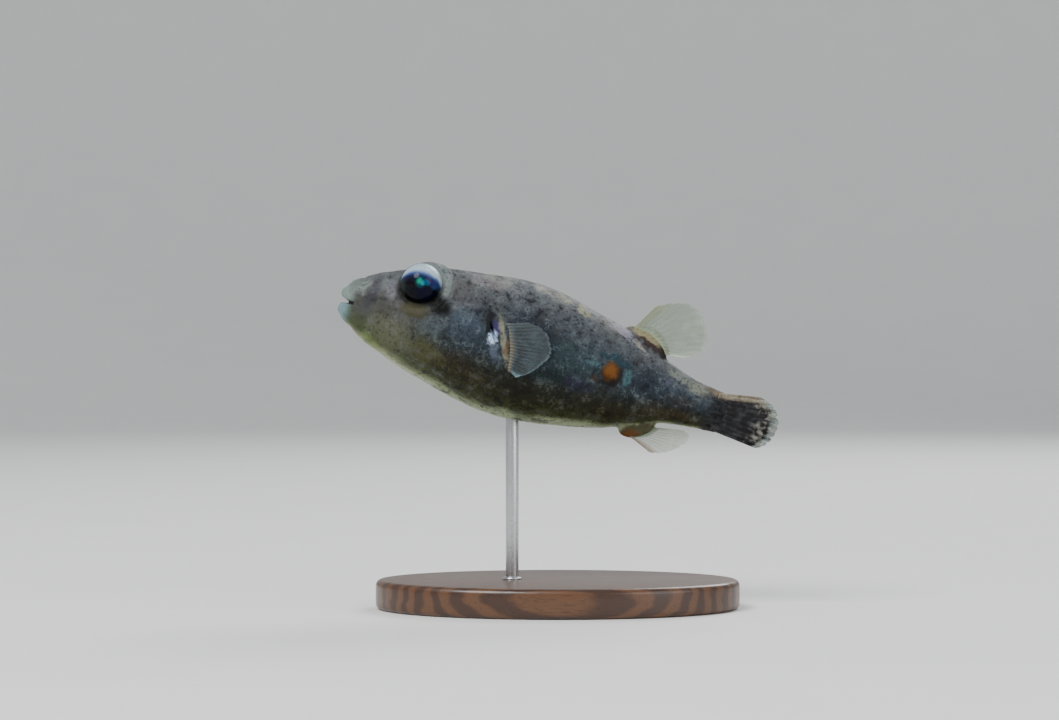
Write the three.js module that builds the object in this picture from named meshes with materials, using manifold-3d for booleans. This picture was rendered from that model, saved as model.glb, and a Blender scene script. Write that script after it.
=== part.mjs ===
// A young freshwater pufferfish, life size, swimming nose up on a plain display stand.
// Millimetres, +Z up, nose towards -X, the left flank towards -Y. The underside of the base lies at Z = 0.
//
// The fish is modelled in a frame of its own: X runs from the mouth slit to the tail along the body axis,
// Y across it towards the right flank, and Z from the belly to the back. A group then pitches it and lifts it
// onto the rod.
import * as THREE from "three";
import { ParametricGeometry } from "three/addons/geometries/ParametricGeometry.js";
import { mergeVertices } from "three/addons/utils/BufferGeometryUtils.js";
import Module from "manifold-3d";

// ---- Driving dimensions ---------------------------------------------------------------------------------
const SNOUT_TIP = -0.1; // the body without its lips
const STALK_END = 60.4; // the end of the tail stalk, where the tail fin is rooted
const NOSE_UP = THREE.MathUtils.degToRad(16);
const MIDDLE = 34.84; // of the whole length, from the mouth slit; it stands over the middle of the base
const MIDDLE_HEIGHT = 37.4; // of that point over the table
const GAP = 0.25; // between touching pieces

// The body's outline at stations along the axis: the back's and the belly's height, half the width, the
// height at which the body is widest, and how square the section is above and below it (2 is an ellipse).
const STATIONS = [
  { at: -0.1, back: 3.4, belly: -2.0, half: 2.3, wide: 0.4, upper: 2.3, lower: 2.2 },
  { at: 2.0, back: 4.6, belly: -2.85, half: 3.0, wide: 0.4, upper: 2.4, lower: 2.2 },
  { at: 4.4, back: 6.0, belly: -4.3, half: 3.85, wide: 0.5, upper: 2.6, lower: 2.1 },
  { at: 7.2, back: 7.3, belly: -5.45, half: 4.95, wide: 0.6, upper: 2.8, lower: 2.1 },
  { at: 11.0, back: 8.9, belly: -6.8, half: 6.2, wide: 0.6, upper: 2.9, lower: 2.1 },
  { at: 15.0, back: 9.8, belly: -7.85, half: 7.05, wide: 0.2, upper: 2.6, lower: 2.1 },
  { at: 20.0, back: 10.45, belly: -9.1, half: 7.75, wide: -0.4, upper: 2.3, lower: 2.1 },
  { at: 26.5, back: 11.25, belly: -10.0, half: 8.1, wide: -1.0, upper: 2.2, lower: 2.1 },
  { at: 32.0, back: 11.0, belly: -9.75, half: 7.8, wide: -1.0, upper: 2.2, lower: 2.1 },
  { at: 38.0, back: 9.65, belly: -8.75, half: 6.8, wide: -0.7, upper: 2.1, lower: 2.1 },
  { at: 43.5, back: 8.3, belly: -7.5, half: 5.4, wide: -0.4, upper: 2.0, lower: 2.0 },
  { at: 48.0, back: 6.5, belly: -5.95, half: 4.1, wide: -0.2, upper: 2.0, lower: 2.0 },
  { at: 52.0, back: 4.95, belly: -4.35, half: 3.05, wide: 0, upper: 2.0, lower: 2.0 },
  { at: 56.0, back: 3.75, belly: -3.65, half: 2.2, wide: 0, upper: 2.0, lower: 2.0 },
  { at: 60.4, back: 3.1, belly: -3.35, half: 1.5, wide: 0, upper: 2.0, lower: 2.0 },
];
const SNOUT_ROUNDING = 1.3; // over this length the tip closes as a quarter ellipse
const BODY_SIDES = 24;
const BODY_RINGS = 30;
const RING_CROWDING = 1.5; // above 1, rings stand closer together towards the snout

// Where the body is parted.
const LIP_BACK = 1.5; // behind the lips
const GILL = 23.6; // between head and trunk, at the gill openings
const STALK_START = 52.8; // between trunk and tail stalk, behind the anal fin

const EYE = { radius: 3.22, at: 11.5, side: 4.5, height: 6.15 };
const ORBIT = { radius: 3.48, sunk: 1.3, forward: 12, up: 14 }; // the mound round an eye, turned in degrees
const BROW = { at: 12.9, side: 2.8, height: 8.6, radii: [2.9, 1.7, 1.4] }; // the hump over the back of an eye
const NOSTRIL = { radius: 0.45, bore: 0.2, length: 1.2, at: 6.2, side: 3.2, height: 5.8, lean: 40 };
const LIPS = {
  upper: { at: 1.0, height: 1.8, radii: [1.3, 2.5, 1.15] },
  lower: { at: 1.05, height: -0.75, radii: [1.25, 2.35, 1.1] },
};
const MOUTH = { corner: 1.75, height: 0.55, gape: 0.95, across: 10 }; // the wedge between the lips
const HOLLOW = { at: 1.85, radii: [1.15, 1.65, 1.05] }; // behind the lips, where the beak shows
const GILL_SLIT = { at: 23.9, height: 2.2, lean: -32, radii: [0.42, 1.1, 2.3] };

// A fin stands on a fleshy foot, an ellipsoid with its radii along, across and up the body. Its rays run
// from the root line to the rim line, given front to back as [along the body, height]; thickness is at the
// root and the rim, bend is how far the rim swings to the side, and spread is the angle off the flank.
const DORSAL = {
  foot: { at: 47.0, height: 6.9, lean: 24, radii: [4.1, 1.15, 1.75] },
  root: [[44.1, 8.3], [47.2, 7.9], [50.1, 6.5]],
  rim: [[46.9, 12.9], [49.4, 14.1], [52.3, 14.4], [54.7, 12.5], [55.8, 9.6], [55.1, 7.6], [52.9, 6.3]],
  rays: 12,
  thickness: [1.5, 0.5],
  bend: -1.6,
};
const ANAL = {
  foot: { at: 49.2, height: -5.9, lean: -26, radii: [3.0, 1.05, 1.5] },
  root: [[47.2, -7.2], [49.4, -6.9], [51.3, -5.5]],
  rim: [[52.1, -8.95], [54.0, -8.4], [55.7, -7.3], [57.0, -5.8], [57.1, -4.7], [56.0, -4.2]],
  rays: 10,
  thickness: [1.4, 0.5],
  bend: -1.9,
};
const CAUDAL = {
  root: [[60.65, 3.0], [60.65, -0.1], [60.65, -3.25]],
  rim: [[66.4, 3.95], [68.7, 2.9], [70.0, 0.9], [69.9, -1.1], [69.2, -2.7], [67.7, -3.9]],
  rays: 9,
  thickness: [2.3, 0.55],
  bend: 0,
};
const PECTORAL = {
  foot: { at: 26.6, height: 0.5, lean: -21, radii: [1.25, 1.0, 3.7] },
  sunk: 0.25, // the foot's middle, under the flank
  root: [[25.5, 3.9], [26.8, 0.5], [28.1, -2.9]],
  rim: [[28.9, 5.0], [31.7, 4.3], [33.4, 2.1], [33.0, 0.1], [31.0, -2.2], [28.8, -3.9]],
  rays: 12,
  thickness: [0.9, 0.5],
  spread: 33,
};
const FIN_ROWS = 4;
const FIN_TAPER = 0.7; // below 1, a fin thins quickly from its root
const RAY_RELIEF = 0.15; // how much a fin is thicker along a ray
const SCALLOP = 0.03; // how far the web between two rays is drawn in, as a share of their length

const BASE = { long: 56, wide: 36, thick: 4.5, chamfer: 0.9, sides: 48 };
const ROD = { radius: 1.0, at: -7, sides: 20, intoFish: 2.5, intoBase: 2.5 };

const COLOURS = {
  skin: { color: 0x5b5a55, roughness: 0.55, metalness: 0 },
  lips: { color: 0x94a5a2, roughness: 0.45, metalness: 0 },
  beak: { color: 0xd8cfb4, roughness: 0.4, metalness: 0 },
  eye: { color: 0x10161f, roughness: 0.08, metalness: 0 },
  fin: { color: 0x8c9484, roughness: 0.5, metalness: 0, transparent: true, opacity: 0.6 },
  tailFin: { color: 0x3e3a36, roughness: 0.55, metalness: 0 },
  wood: { color: 0x3a2417, roughness: 0.45, metalness: 0 },
  steel: { color: 0xb4b6b8, roughness: 0.3, metalness: 1 },
};

// ---- Solids ---------------------------------------------------------------------------------------------
const wasm = await Module();
wasm.setup();

/** A closed three.js geometry as a manifold-3d solid, with collapsed faces dropped. */
function solidOf(geometry, place = new THREE.Matrix4()) {
  const bare = geometry.clone().applyMatrix4(place);
  bare.deleteAttribute("normal");
  bare.deleteAttribute("uv");
  const merged = mergeVertices(bare, 1e-4);
  const corners = merged.index.array;
  const faces = [];
  for (let i = 0; i < corners.length; i += 3) {
    const [a, b, c] = corners.slice(i, i + 3);
    if (a !== b && b !== c && c !== a) faces.push(a, b, c);
  }
  const vertProperties = merged.attributes.position.array;
  return new wasm.Manifold(new wasm.Mesh({ numProp: 3, vertProperties, triVerts: new Uint32Array(faces) }));
}

/** A solid back as a geometry for a THREE.Mesh. */
function geometryOf(solid) {
  const { vertProperties, triVerts } = solid.getMesh();
  const geometry = new THREE.BufferGeometry();
  geometry.setAttribute("position", new THREE.BufferAttribute(vertProperties, 3));
  geometry.setIndex(new THREE.BufferAttribute(triVerts, 1));
  geometry.computeVertexNormals();
  return geometry;
}

/** A placing matrix: turned by Euler angles in degrees, scaled first and moved last. */
function placed(x, y, z, turn = [0, 0, 0], scale = [1, 1, 1]) {
  const angles = new THREE.Euler(...turn.map(THREE.MathUtils.degToRad), "ZYX");
  return new THREE.Matrix4().compose(
    new THREE.Vector3(x, y, z),
    new THREE.Quaternion().setFromEuler(angles),
    new THREE.Vector3(...scale),
  );
}

function ellipsoid(radii, place, across = 12, down = 8) {
  return solidOf(new THREE.SphereGeometry(1, across, down).scale(...radii), place);
}

/** The slice of a solid between two stations along the body. */
function slice(solid, from, to) {
  const box = new THREE.BoxGeometry(to - from, STALK_END, STALK_END);
  return solid.intersect(solidOf(box, placed((from + to) / 2, 0, 0)));
}

// ---- Body -----------------------------------------------------------------------------------------------
const FIELDS = ["back", "belly", "half", "wide", "upper", "lower"];
const outline = new THREE.CubicInterpolant(
  STATIONS.map((station) => station.at),
  STATIONS.flatMap((station) => FIELDS.map((field) => station[field])),
  FIELDS.length,
);

/** The body's section at a place along the axis. */
function sectionAt(x) {
  const values = outline.evaluate(x);
  return Object.fromEntries(FIELDS.map((field, i) => [field, values[i]]));
}

/** How open the sections are: 0 at the snout's tip, rising to 1 along a quarter ellipse. */
function opening(x) {
  const share = Math.min(1, (x - SNOUT_TIP) / SNOUT_ROUNDING);
  return Math.sqrt(1 - (1 - share) ** 2);
}

/** The body's half width at a place along the axis and a height. */
function flankAt(x, height) {
  const { back, belly, half, wide, upper, lower } = sectionAt(x);
  const [reach, power] = height > wide ? [back - wide, upper] : [wide - belly, lower];
  const share = Math.min(1, Math.abs(height - wide) / reach);
  return half * (1 - share ** power) ** (1 / power);
}

/** The whole body as one solid, its sections grown by a margin. */
function bodySolid(margin = 0) {
  const surface = (turn, along, target) => {
    const share = Math.min(1, along / (1 - 1 / BODY_RINGS)); // the last ring closes the flat end
    const x = SNOUT_TIP + (STALK_END - SNOUT_TIP) * share ** RING_CROWDING;
    const { back, belly, half, wide, upper, lower } = sectionAt(x);
    const angle = turn * 2 * Math.PI;
    const power = 2 / (Math.sin(angle) > 0 ? upper : lower);
    const reach = Math.sin(angle) > 0 ? back - wide : wide - belly;
    const across = Math.sign(Math.cos(angle)) * Math.abs(Math.cos(angle)) ** power;
    const up = Math.sign(Math.sin(angle)) * Math.abs(Math.sin(angle)) ** power;
    const open = opening(x);
    target.set(x, across * (half * open + margin), wide + up * (reach * open + margin));
    if (along === 0 || along === 1) target.set(x, 0, wide);
    if (turn === 1) surface(0, along, target);
  };
  const solid = solidOf(new ParametricGeometry(surface, BODY_SIDES, BODY_RINGS));
  if (solid.volume() <= 0) throw new Error("the body's faces point inwards");
  return solid;
}

/** The cushion of a lip. */
const lipSolid = ({ at, height, radii }) => ellipsoid(radii, placed(at, 0, height), 14, 10);

/** The room behind the lips, made smaller by a margin. */
function hollowSolid(margin = 0) {
  const radii = HOLLOW.radii.map((radius) => radius - margin);
  return ellipsoid(radii, placed(HOLLOW.at, 0, MOUTH.height));
}

/** The wedge between the parted lips, which reaches well in front of them. */
function gapeSolid() {
  const { corner, height, gape, across } = MOUTH;
  const wedge = new THREE.Shape([
    new THREE.Vector2(corner, height),
    new THREE.Vector2(-2 * corner, height + gape),
    new THREE.Vector2(-2 * corner, height - 1.5 * gape),
  ]);
  const prism = new THREE.ExtrudeGeometry(wedge, { depth: across, bevelEnabled: false });
  return solidOf(prism, placed(0, across / 2, 0, [90, 0, 0]));
}

/** A plate of the beak, above (1) or below (-1) the bite: half of what fills the hollow. */
function beakPlate(way) {
  const size = 2 * MOUTH.across;
  const half = new THREE.BoxGeometry(size, size, size);
  return hollowSolid(GAP).intersect(solidOf(half, placed(0, 0, MOUTH.height + (way * (size + GAP)) / 2)));
}

/** The place and the axis (+Z) of the eye on the left (-1) or right (1) side. */
const eyePlace = (side) =>
  placed(EYE.at, side * EYE.side, EYE.height, [side * (ORBIT.up - 90), 0, side * ORBIT.forward]);

const eyeSolid = (side, margin = 0) =>
  solidOf(new THREE.SphereGeometry(EYE.radius + margin, 18, 12), eyePlace(side));

/** The mound of skin round an eye; the eyeball comes out of it where their two spheres cross. */
function orbitSolid(side) {
  const mound = new THREE.SphereGeometry(ORBIT.radius, 18, 12);
  return solidOf(mound, eyePlace(side).multiply(placed(0, 0, -ORBIT.sunk)));
}

const browSolid = (side) => ellipsoid(BROW.radii, placed(BROW.at, side * BROW.side, BROW.height), 14, 10);

/** A short open nostril tube in front of an eye. */
function nostrilSolid(side) {
  const { radius, bore, length, at, side: apart, height, lean } = NOSTRIL;
  const wall = [[0, 0], [radius, 0], [radius, length], [bore, length], [bore, length / 2], [0, length / 2]];
  const tube = new THREE.LatheGeometry(wall.map(([r, y]) => new THREE.Vector2(r, y)), 10);
  return solidOf(tube, placed(at, side * apart, height, [90 - side * lean, 0, 0]));
}

/** The hollow of a gill opening. */
function gillSlit(side) {
  const { at, height, lean, radii } = GILL_SLIT;
  return ellipsoid(radii, placed(at, side * flankAt(at, height), height, [0, lean, 0]));
}

/** The fleshy foot of a fin at a place across the body, grown by a margin. */
function footSolid({ at, height, lean, radii }, margin = 0, across = 0) {
  const grown = radii.map((radius) => radius + margin);
  return ellipsoid(grown, placed(at, across, height, [0, lean, 0]));
}

/** The foot of a pectoral fin, on the flank. */
function pectoralFoot(side, margin = 0) {
  const { at, height } = PECTORAL.foot;
  return footSolid(PECTORAL.foot, margin, side * (flankAt(at, height) - PECTORAL.sunk));
}

// ---- Fins -----------------------------------------------------------------------------------------------
/** A closed fin: two sheets from a root to a rim curve, ribbed along the rays and sewn at their border. */
function finSolid({ root, rim, facing, rays, thickness }) {
  const columns = rays * 2;
  const points = [];
  const index = [];
  const sheets = [1, -1].map((way) => {
    const first = points.length;
    for (let i = 0; i <= columns; i++) {
      const onRay = i % 2 === 0;
      for (let j = 0; j <= FIN_ROWS; j++) {
        const out = j / FIN_ROWS;
        const reach = onRay ? out : out * (1 - SCALLOP);
        const thick = THREE.MathUtils.lerp(...thickness, out ** FIN_TAPER) + (onRay ? RAY_RELIEF : 0);
        const middle = root.getPoint(i / columns).lerp(rim.getPoint(i / columns), reach);
        points.push(middle.addScaledVector(facing, (way * thick) / 2));
      }
    }
    return (i, j) => first + i * (FIN_ROWS + 1) + j;
  });
  const [near, far] = sheets;
  const quad = (a, b, c, d) => index.push(a, b, c, a, c, d);
  for (let i = 0; i < columns; i++) {
    for (let j = 0; j < FIN_ROWS; j++) {
      quad(near(i, j), near(i + 1, j), near(i + 1, j + 1), near(i, j + 1));
      quad(far(i, j), far(i, j + 1), far(i + 1, j + 1), far(i + 1, j));
    }
  }
  const sew = (i, j, k, l) => quad(near(k, l), near(i, j), far(i, j), far(k, l));
  for (let i = 0; i < columns; i++) {
    sew(i, 0, i + 1, 0);
    sew(i + 1, FIN_ROWS, i, FIN_ROWS);
  }
  for (let j = 0; j < FIN_ROWS; j++) {
    sew(columns, j, columns, j + 1);
    sew(0, j + 1, 0, j);
  }
  const geometry = new THREE.BufferGeometry().setFromPoints(points).setIndex(index);
  const solid = solidOf(geometry);
  return solid.volume() > 0 ? solid : solidOf(geometry.setIndex(index.reverse()));
}

const curve = (points) => new THREE.CatmullRomCurve3(points, false, "centripetal");

/** A fin in the body's middle plane, with its rim swung to one side. */
function medianFin({ root, rim, rays, thickness, bend }) {
  return finSolid({
    root: curve(root.map(([x, z]) => new THREE.Vector3(x, 0, z))),
    rim: curve(rim.map(([x, z]) => new THREE.Vector3(x, bend, z))),
    facing: new THREE.Vector3(0, 1, 0),
    rays,
    thickness,
  });
}

/** A pectoral fin, hinged on the flank and spread away from it. */
function pectoralFin(side) {
  const { root, rim, rays, thickness } = PECTORAL;
  const spread = THREE.MathUtils.degToRad(PECTORAL.spread);
  const [hinge, hingeHeight] = root[1];
  const out = (x) => flankAt(hinge, hingeHeight) + (x - hinge) * Math.tan(spread);
  return finSolid({
    root: curve(root.map(([x, z]) => new THREE.Vector3(x, side * flankAt(x, z), z))),
    rim: curve(rim.map(([x, z]) => new THREE.Vector3(x, side * out(x), z))),
    facing: new THREE.Vector3(-Math.sin(spread), side * Math.cos(spread), 0),
    rays,
    thickness,
  });
}

// ---- The fish, part by part -----------------------------------------------------------------------------
const SIDES = { left: -1, right: 1 };
const material = Object.fromEntries(
  Object.entries(COLOURS).map(([name, look]) => [name, new THREE.MeshStandardMaterial(look)]),
);

function piece(name, solid, look) {
  const mesh = new THREE.Mesh(geometryOf(solid), material[look]);
  mesh.name = name;
  return mesh;
}

const both = (make) => Object.values(SIDES).map((side) => make(side));
const joined = (solids) => solids.reduce((sum, solid) => sum.add(solid));
const without = (solid, ...cutters) => cutters.reduce((rest, cutter) => rest.subtract(cutter), solid);

/** The fish's group, pitched nose up with its middle over the middle of the base. */
function fishGroup() {
  const group = new THREE.Group();
  group.rotation.y = NOSE_UP;
  group.position.set(-MIDDLE, 0, 0).applyEuler(group.rotation);
  group.position.z += MIDDLE_HEIGHT;
  group.updateMatrix();
  return group;
}

/** The height of the rod's top, inside the belly that stands over the rod's foot. */
function rodTop(group) {
  const level = (ROD.at - group.position.x) / Math.cos(NOSE_UP);
  const along = level - sectionAt(level).belly * Math.tan(NOSE_UP);
  const belly = new THREE.Vector3(along, 0, sectionAt(along).belly);
  return belly.applyMatrix4(group.matrix).z + ROD.intoFish;
}

/** The upright rod between two heights, grown by a margin. */
function rodSolid(from, to, margin = 0) {
  const radius = ROD.radius + margin;
  const rod = new THREE.CylinderGeometry(radius, radius, to - from, ROD.sides);
  return [rod, placed(ROD.at, 0, (from + to) / 2, [90, 0, 0])];
}

/** All the flesh as one solid, with its sockets and slits cut. */
function fleshSolid(group) {
  const [rod, upright] = rodSolid(0, rodTop(group) + GAP, GAP);
  const rodSocket = solidOf(rod, group.matrix.clone().invert().multiply(upright));
  const sockets = both((side) => eyeSolid(side, GAP));
  const flesh = joined([
    bodySolid(),
    lipSolid(LIPS.upper),
    lipSolid(LIPS.lower),
    ...both(orbitSolid),
    ...both(browSolid),
    ...both(nostrilSolid),
    ...both(pectoralFoot),
    footSolid(DORSAL.foot),
    footSolid(ANAL.foot),
  ]);
  return without(flesh, gapeSolid(), hollowSolid(), rodSocket, ...sockets, ...both(gillSlit));
}

/** A fin without what lies in the flesh, and without the crumbs that such a cut may leave. */
function trimmed(fin, foot) {
  const outside = without(fin, bodySolid(GAP), foot).decompose();
  return outside.sort((a, b) => b.volume() - a.volume())[0];
}

function makeFish() {
  const group = fishGroup();
  const flesh = fleshSolid(group);
  const lips = slice(flesh, 2 * SNOUT_TIP - LIP_BACK, LIP_BACK - GAP / 2).decompose();
  const [lower, upper] = lips.sort((a, b) => a.boundingBox().min[2] - b.boundingBox().min[2]);
  group.add(piece("lip_upper", upper, "lips"));
  group.add(piece("lip_lower", lower, "lips"));
  group.add(piece("beak_upper", beakPlate(1), "beak"));
  group.add(piece("beak_lower", beakPlate(-1), "beak"));
  group.add(piece("head", slice(flesh, LIP_BACK + GAP / 2, GILL - GAP / 2), "skin"));
  group.add(piece("trunk", slice(flesh, GILL + GAP / 2, STALK_START - GAP / 2), "skin"));
  group.add(piece("tail_stalk", slice(flesh, STALK_START + GAP / 2, STALK_END + 1), "skin"));
  group.add(piece("fin_dorsal", trimmed(medianFin(DORSAL), footSolid(DORSAL.foot, GAP)), "fin"));
  group.add(piece("fin_anal", trimmed(medianFin(ANAL), footSolid(ANAL.foot, GAP)), "fin"));
  group.add(piece("fin_tail", medianFin(CAUDAL), "tailFin"));
  for (const [name, side] of Object.entries(SIDES)) {
    group.add(piece(`eye_${name}`, eyeSolid(side), "eye"));
    group.add(piece(`fin_pectoral_${name}`, trimmed(pectoralFin(side), pectoralFoot(side, GAP)), "fin"));
  }
  return group;
}

// ---- Stand ----------------------------------------------------------------------------------------------
/** The oval base, turned as a round plate and then drawn out. */
function baseSolid() {
  const { long, wide, thick, chamfer, sides } = BASE;
  const rim = 1 - (2 * chamfer) / long;
  const edge = [[0, 0], [1, 0], [1, thick - chamfer], [rim, thick], [0, thick]];
  const plate = new THREE.LatheGeometry(edge.map(([r, y]) => new THREE.Vector2(r, y)), sides);
  return solidOf(plate, placed(0, 0, 0, [90, 0, 0], [long / 2, 1, wide / 2]));
}

function makeStand(top) {
  const group = new THREE.Group();
  const foot = BASE.thick - ROD.intoBase;
  const hole = solidOf(...rodSolid(foot - GAP, top, GAP));
  group.add(piece("stand_base", baseSolid().subtract(hole), "wood"));
  group.add(piece("stand_rod", solidOf(...rodSolid(foot, top)), "steel"));
  return group;
}

const puffer = new THREE.Group();
const fish = makeFish();
puffer.add(fish);
puffer.add(makeStand(rodTop(fish)));
export default puffer;
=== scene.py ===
"""A young freshwater pufferfish, life size, swimming nose up on a display stand."""

import math

import bpy
import numpy as np
from mathutils import Matrix, Vector, noise


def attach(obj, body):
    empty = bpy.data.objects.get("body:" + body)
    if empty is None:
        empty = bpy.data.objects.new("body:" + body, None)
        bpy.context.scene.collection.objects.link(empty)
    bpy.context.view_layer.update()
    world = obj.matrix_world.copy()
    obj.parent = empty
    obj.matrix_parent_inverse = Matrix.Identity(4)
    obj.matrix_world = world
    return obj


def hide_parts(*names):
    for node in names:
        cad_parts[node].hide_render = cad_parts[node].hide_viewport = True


bl_info = {
    "name": "Freshwater pufferfish",
    "version": (1, 0, 0),
    "blender": (4, 5, 0),
    "location": "3D View > Sidebar > Puffer",
    "description": "Models a young freshwater pufferfish and its display stand",
    "category": "Add Mesh",
}

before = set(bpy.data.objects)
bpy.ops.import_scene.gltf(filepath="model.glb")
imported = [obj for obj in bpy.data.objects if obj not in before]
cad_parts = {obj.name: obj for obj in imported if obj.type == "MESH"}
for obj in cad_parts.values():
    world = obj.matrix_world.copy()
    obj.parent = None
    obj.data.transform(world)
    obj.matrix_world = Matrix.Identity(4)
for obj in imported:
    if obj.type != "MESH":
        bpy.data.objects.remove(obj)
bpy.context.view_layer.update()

# ---- The fish's own frame ------------------------------------------------------------------------
# The fish is modelled in millimetres: X from the mouth slit to the tail, Y towards the right flank,
# Z to the back.
MM = 0.001
NOSE_UP = math.radians(16)
MIDDLE = 34.84  # of the whole length, from the mouth slit; it stands over the middle of the base
MIDDLE_HEIGHT = 37.4  # of that point over the table
FISH_TO_ROW = (
    Matrix.Translation((0, 0, MIDDLE_HEIGHT * MM))
    @ Matrix.Rotation(NOSE_UP, 4, "Y")
    @ Matrix.Scale(MM, 4)
    @ Matrix.Translation((-MIDDLE, 0, 0))
)
STAND_TO_ROW = Matrix.Scale(MM, 4)
SIDES = {"left": -1, "right": 1}

# ---- The fish's dimensions, in millimetres -------------------------------------------------------
# Stations along the body: place, back's height, belly's height, half width, height of the widest point,
# and how square the section is above and below it (2 is an ellipse).
STATIONS = (
    (-0.1, 3.4, -2.0, 2.3, 0.4, 2.3, 2.2),
    (2.0, 4.6, -2.85, 3.0, 0.4, 2.4, 2.2),
    (4.4, 6.0, -4.3, 3.85, 0.5, 2.6, 2.1),
    (7.2, 7.3, -5.45, 4.95, 0.6, 2.8, 2.1),
    (11.0, 8.9, -6.8, 6.2, 0.6, 2.9, 2.1),
    (15.0, 9.8, -7.85, 7.05, 0.2, 2.6, 2.1),
    (20.0, 10.45, -9.1, 7.75, -0.4, 2.3, 2.1),
    (26.5, 11.25, -10.0, 8.1, -1.0, 2.2, 2.1),
    (32.0, 11.0, -9.75, 7.8, -1.0, 2.2, 2.1),
    (38.0, 9.65, -8.75, 6.8, -0.7, 2.1, 2.1),
    (43.5, 8.3, -7.5, 5.4, -0.4, 2.0, 2.0),
    (48.0, 6.5, -5.95, 4.1, -0.2, 2.0, 2.0),
    (52.0, 4.95, -4.35, 3.05, 0.0, 2.0, 2.0),
    (56.0, 3.75, -3.65, 2.2, 0.0, 2.0, 2.0),
    (60.4, 3.1, -3.35, 1.2, 0.0, 2.0, 2.0),
    (62.2, 3.0, -3.3, 0.5, 0.0, 2.0, 2.0),
)
SNOUT_ROUNDING = 1.3
STALK_ROUNDING = 1.6
EYE = {"radius": 3.22, "at": (11.5, 4.5, 6.15), "forward": 12, "up": 14}
MOUND = {"radius": 3.48, "sunk": 1.3}  # the mound of skin that an eye sits in
BROW = {"at": (12.9, 2.8, 8.55), "radii": (2.9, 1.75, 1.38)}
SOCKET = {"depth": 0.7, "reach": 3.3, "width": 1.2}  # the dent round an eye, by distance from its middle
LIPS = {
    "upper": {"at": 1.0, "height": 1.8, "radii": (1.3, 2.5, 1.1), "bow": 0.35},
    "lower": {"at": 1.05, "height": -0.72, "radii": (1.25, 2.35, 1.05), "bow": 0.3},
}
MOUTH = {"corner": 2.05, "height": 0.55, "gape": 1.05, "half": 4.0, "arch": 0.16}
HOLLOW = {"at": 1.85, "radii": (1.15, 1.65, 1.05)}
GILL = {"at": 23.9, "height": 2.2, "lean": -32, "radii": (0.27, 1.3, 2.1)}
NOSTRIL = {"at": (6.2, 3.25, 6.0), "length": 0.9, "radius": 0.44, "lean": 38}
DORSAL = {
    "foot": {"at": 47.0, "height": 6.8, "lean": 24, "radii": (4.05, 1.1, 1.8)},
    "root": ((44.1, 8.0), (47.2, 7.6), (50.1, 6.2)),
    "rim": ((46.9, 12.9), (49.4, 14.1), (52.3, 14.4), (54.7, 12.5), (55.8, 9.6), (55.1, 7.6), (52.9, 6.3)),
    "rays": 12,
    "bend": -1.6,
}
ANAL = {
    "foot": {"at": 49.2, "height": -5.9, "lean": -26, "radii": (2.95, 1.0, 1.5)},
    "root": ((47.2, -6.9), (49.4, -6.6), (51.3, -5.2)),
    "rim": ((52.1, -8.95), (54.0, -8.4), (55.7, -7.3), (57.0, -5.8), (57.1, -4.7), (56.0, -4.2)),
    "rays": 10,
    "bend": -1.9,
}
CAUDAL = {
    "root": ((59.9, 2.75), (59.9, -0.1), (59.9, -3.0)),
    "rim": ((66.4, 3.95), (68.7, 2.9), (70.0, 0.9), (69.9, -1.1), (69.2, -2.7), (67.7, -3.9)),
    "rays": 9,
    "bend": 0.0,
}
PECTORAL = {
    "foot": {"at": 26.6, "height": 0.5, "lean": -21, "radii": (1.2, 0.95, 3.65)},
    "sunk": 0.3,
    "root": ((25.5, 3.9), (26.8, 0.5), (28.1, -2.9)),
    "rim": ((28.9, 5.0), (31.7, 4.3), (33.4, 2.1), (33.1, 0.1), (31.4, -2.0), (29.2, -3.5)),
    "rays": 16,
    "spread": 33,
}
SCALLOP = 0.03  # how far a fin's rim draws in between two rays, as a share of its length

# Soft forms pushed out of (+) or into (-) the skin: place, distance from the middle, height, their three
# reaches, rise.
FORMS = (
    (13.0, 6.0, -1.2, 5.0, 4.5, 3.8, 0.22),  # cheek muscle
    (7.2, 4.2, 4.2, 1.7, 2.6, 1.4, -0.22),  # hollow in front of the eye
    (11.0, 0.0, 9.0, 3.6, 1.2, 1.5, -0.3),  # dip between the eyes
    (16.3, 6.4, 4.6, 1.8, 2.6, 2.2, -0.22),  # temple
    (20.6, 7.6, 0.2, 2.6, 3.0, 4.2, 0.22),  # gill cover
    (22.9, 7.6, 2.4, 0.6, 2.4, 2.0, 0.24),  # flap in front of the gill opening
    (29.8, 8.0, 0.4, 2.6, 3.0, 3.4, -0.22),  # hollow under the pectoral fin
    (38.5, 6.6, 1.6, 7.0, 3.4, 3.0, 0.12),  # flank muscle
    (53.0, 2.8, -2.6, 6.0, 1.5, 0.5, 0.12),  # fold low on the tail stalk
)
LATERAL_LINE = ((15.5, 5.2), (24.0, 6.2), (34.0, 5.0), (44.0, 2.6), (52.0, 1.0), (58.0, 0.4))

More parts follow.
